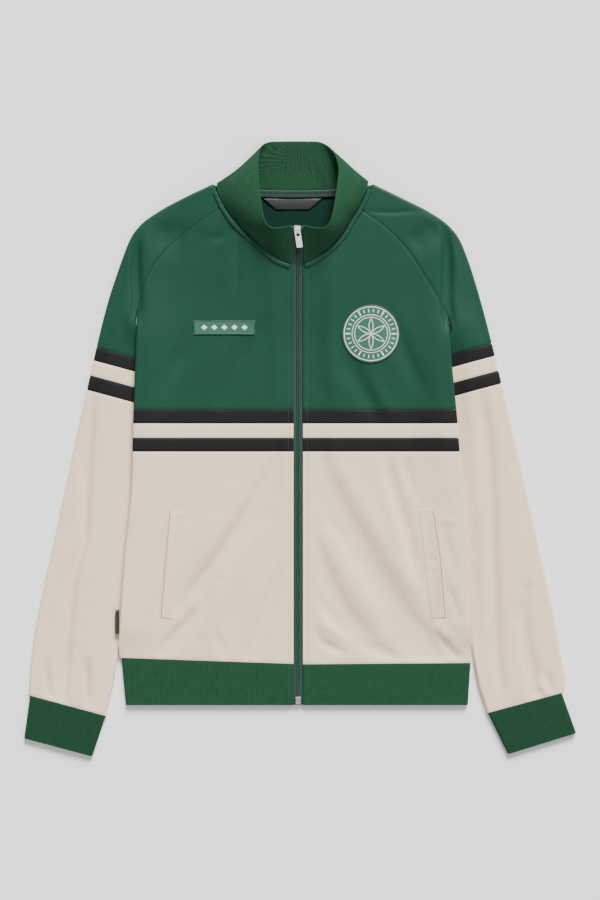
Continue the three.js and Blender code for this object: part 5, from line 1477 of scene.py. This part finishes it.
def stitch_tree():
    """A small oval thread at every pitch along a line, laid along it."""
    tree, given, result = nodes_tree("stitch_row",
                                     (("Line", "NodeSocketGeometry"), ("Pitch", "NodeSocketFloat"),
                                                    ("Size", "NodeSocketVector"), ("Thread",
                                                                                   "NodeSocketMaterial")))
    nodes, links = tree.nodes, tree.links
    curve_node = nodes.new("GeometryNodeMeshToCurve")
    links.new(given.outputs["Line"], curve_node.inputs["Mesh"])
    points = nodes.new("GeometryNodeCurveToPoints")
    points.mode = "LENGTH"
    links.new(curve_node.outputs["Curve"], points.inputs["Curve"])
    links.new(given.outputs["Pitch"], points.inputs["Length"])
    align = nodes.new("FunctionNodeAlignRotationToVector")
    align.axis = "X"
    links.new(points.outputs["Tangent"], align.inputs["Vector"])
    thread = nodes.new("GeometryNodeMeshIcoSphere")
    thread.inputs["Subdivisions"].default_value = 1
    thread.inputs["Radius"].default_value = 1.0
    place_all = nodes.new("GeometryNodeInstanceOnPoints")
    links.new(points.outputs["Points"], place_all.inputs["Points"])
    links.new(thread.outputs["Mesh"], place_all.inputs["Instance"])
    links.new(align.outputs["Rotation"], place_all.inputs["Rotation"])
    links.new(given.outputs["Size"], place_all.inputs["Scale"])
    real = nodes.new("GeometryNodeRealizeInstances")
    links.new(place_all.outputs["Instances"], real.inputs["Geometry"])
    dress = nodes.new("GeometryNodeSetMaterial")
    links.new(real.outputs["Geometry"], dress.inputs["Geometry"])
    links.new(given.outputs["Thread"], dress.inputs["Material"])
    links.new(dress.outputs["Geometry"], result.inputs["Geometry"])
    return tree


STITCHES = stitch_tree()


def stitch_rows(name, lines, thread, pitch=STITCH_PITCH, size=(1.15, 0.24, 0.2)):
    rows = line_object(name, lines)
    scaled = tuple(value * 0.001 for value in size)
    apply_nodes(rows, STITCHES, {"Pitch": pitch * 0.001, "Size": scaled, "Thread": thread})
    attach(rows, "jacket")


edge_lines = []
for side in SIGN:
    y = np.linspace(-343.5, 246.0, 260)
    x = np.full_like(y, SIGN[side] * (ZIP_EDGE[side] + STITCH_INSET))
    z = np.where(y < HEM_SEAM, LAY, front_top(x, y) - 0.25)
    z = z - SEAM_DIP * np.exp(-(((y - HEM_SEAM) / SEAM_DIP_WIDTH) ** 2)) + 0.02
    edge_lines.append(np.stack([x, y, z], -1))
stitch_rows("front_edge_stitches", edge_lines, GREEN_THREAD)

pocket_lines = []
for side in SIGN:
    inner, outer = (np.array(line) for line in WELTS[side])
    for k, shift in ((0, -1.2), (-1, 1.2)):
        ends = [inner[k], outer[k]]
        line = lerp(np.array(ends[0]) + [0, shift], np.array(ends[1]) + [0, shift],
                    np.linspace(-0.02, 1.08, 14)[:, None])
        z = front_top(line[:, 0], line[:, 1])
        pocket_lines.append(np.column_stack([line, z + 0.12]))
stitch_rows("pocket_stitches", pocket_lines, CREAM_THREAD, 2.4, (0.95, 0.22, 0.16))

neck_lines = []
for row in (0.16, 0.42):
    x = np.linspace(-90.0, 74.0, 90)
    y = 339.4 + 3.4 * ((x + 8.5) / 88) ** 2 + 10.2 * row
    z = 3.1 + row + 0.35 * (1 - abs(2 * row - 1) ** 4)
    neck_lines.append(np.column_stack([x, y, z + 0.05 + 0 * x]))
stitch_rows("neck_tape_stitches", neck_lines, GREEN_THREAD, 2.8, (1.0, 0.24, 0.2))

strip_lines = []
for side in SIGN:
    rows = COLLAR_STATIONS[(COLLAR_STATIONS[:, 0] * SIGN[side] > 0) & (COLLAR_STATIONS[:, 2] > 6), :2]
    rows = rows[::-1] if side == "right" else rows
    line = through(rows, np.linspace(0.01, 0.93, 120))
    run = np.gradient(line, axis=0)
    run = run / np.linalg.norm(run, axis=1, keepdims=True)
    outward = SIGN[side] * np.stack([run[:, 1], -run[:, 0]], -1)
    place = line + outward * (STRIP_INSET + 0.76 * STRIP_WIDTH)
    x, y = place[:, 0], place[:, 1]
    z = LAY + neck_rise(x, y) + np.maximum(0.0, relief(x, y)) + 0.6 + STRIP_HEIGHT * (1 - 0.52**3) ** 0.5
    strip_lines.append(np.column_stack([x, y, z]))
stitch_rows("neck_strip_stitches", strip_lines, GREEN_THREAD, 2.8, (1.0, 0.22, 0.2))
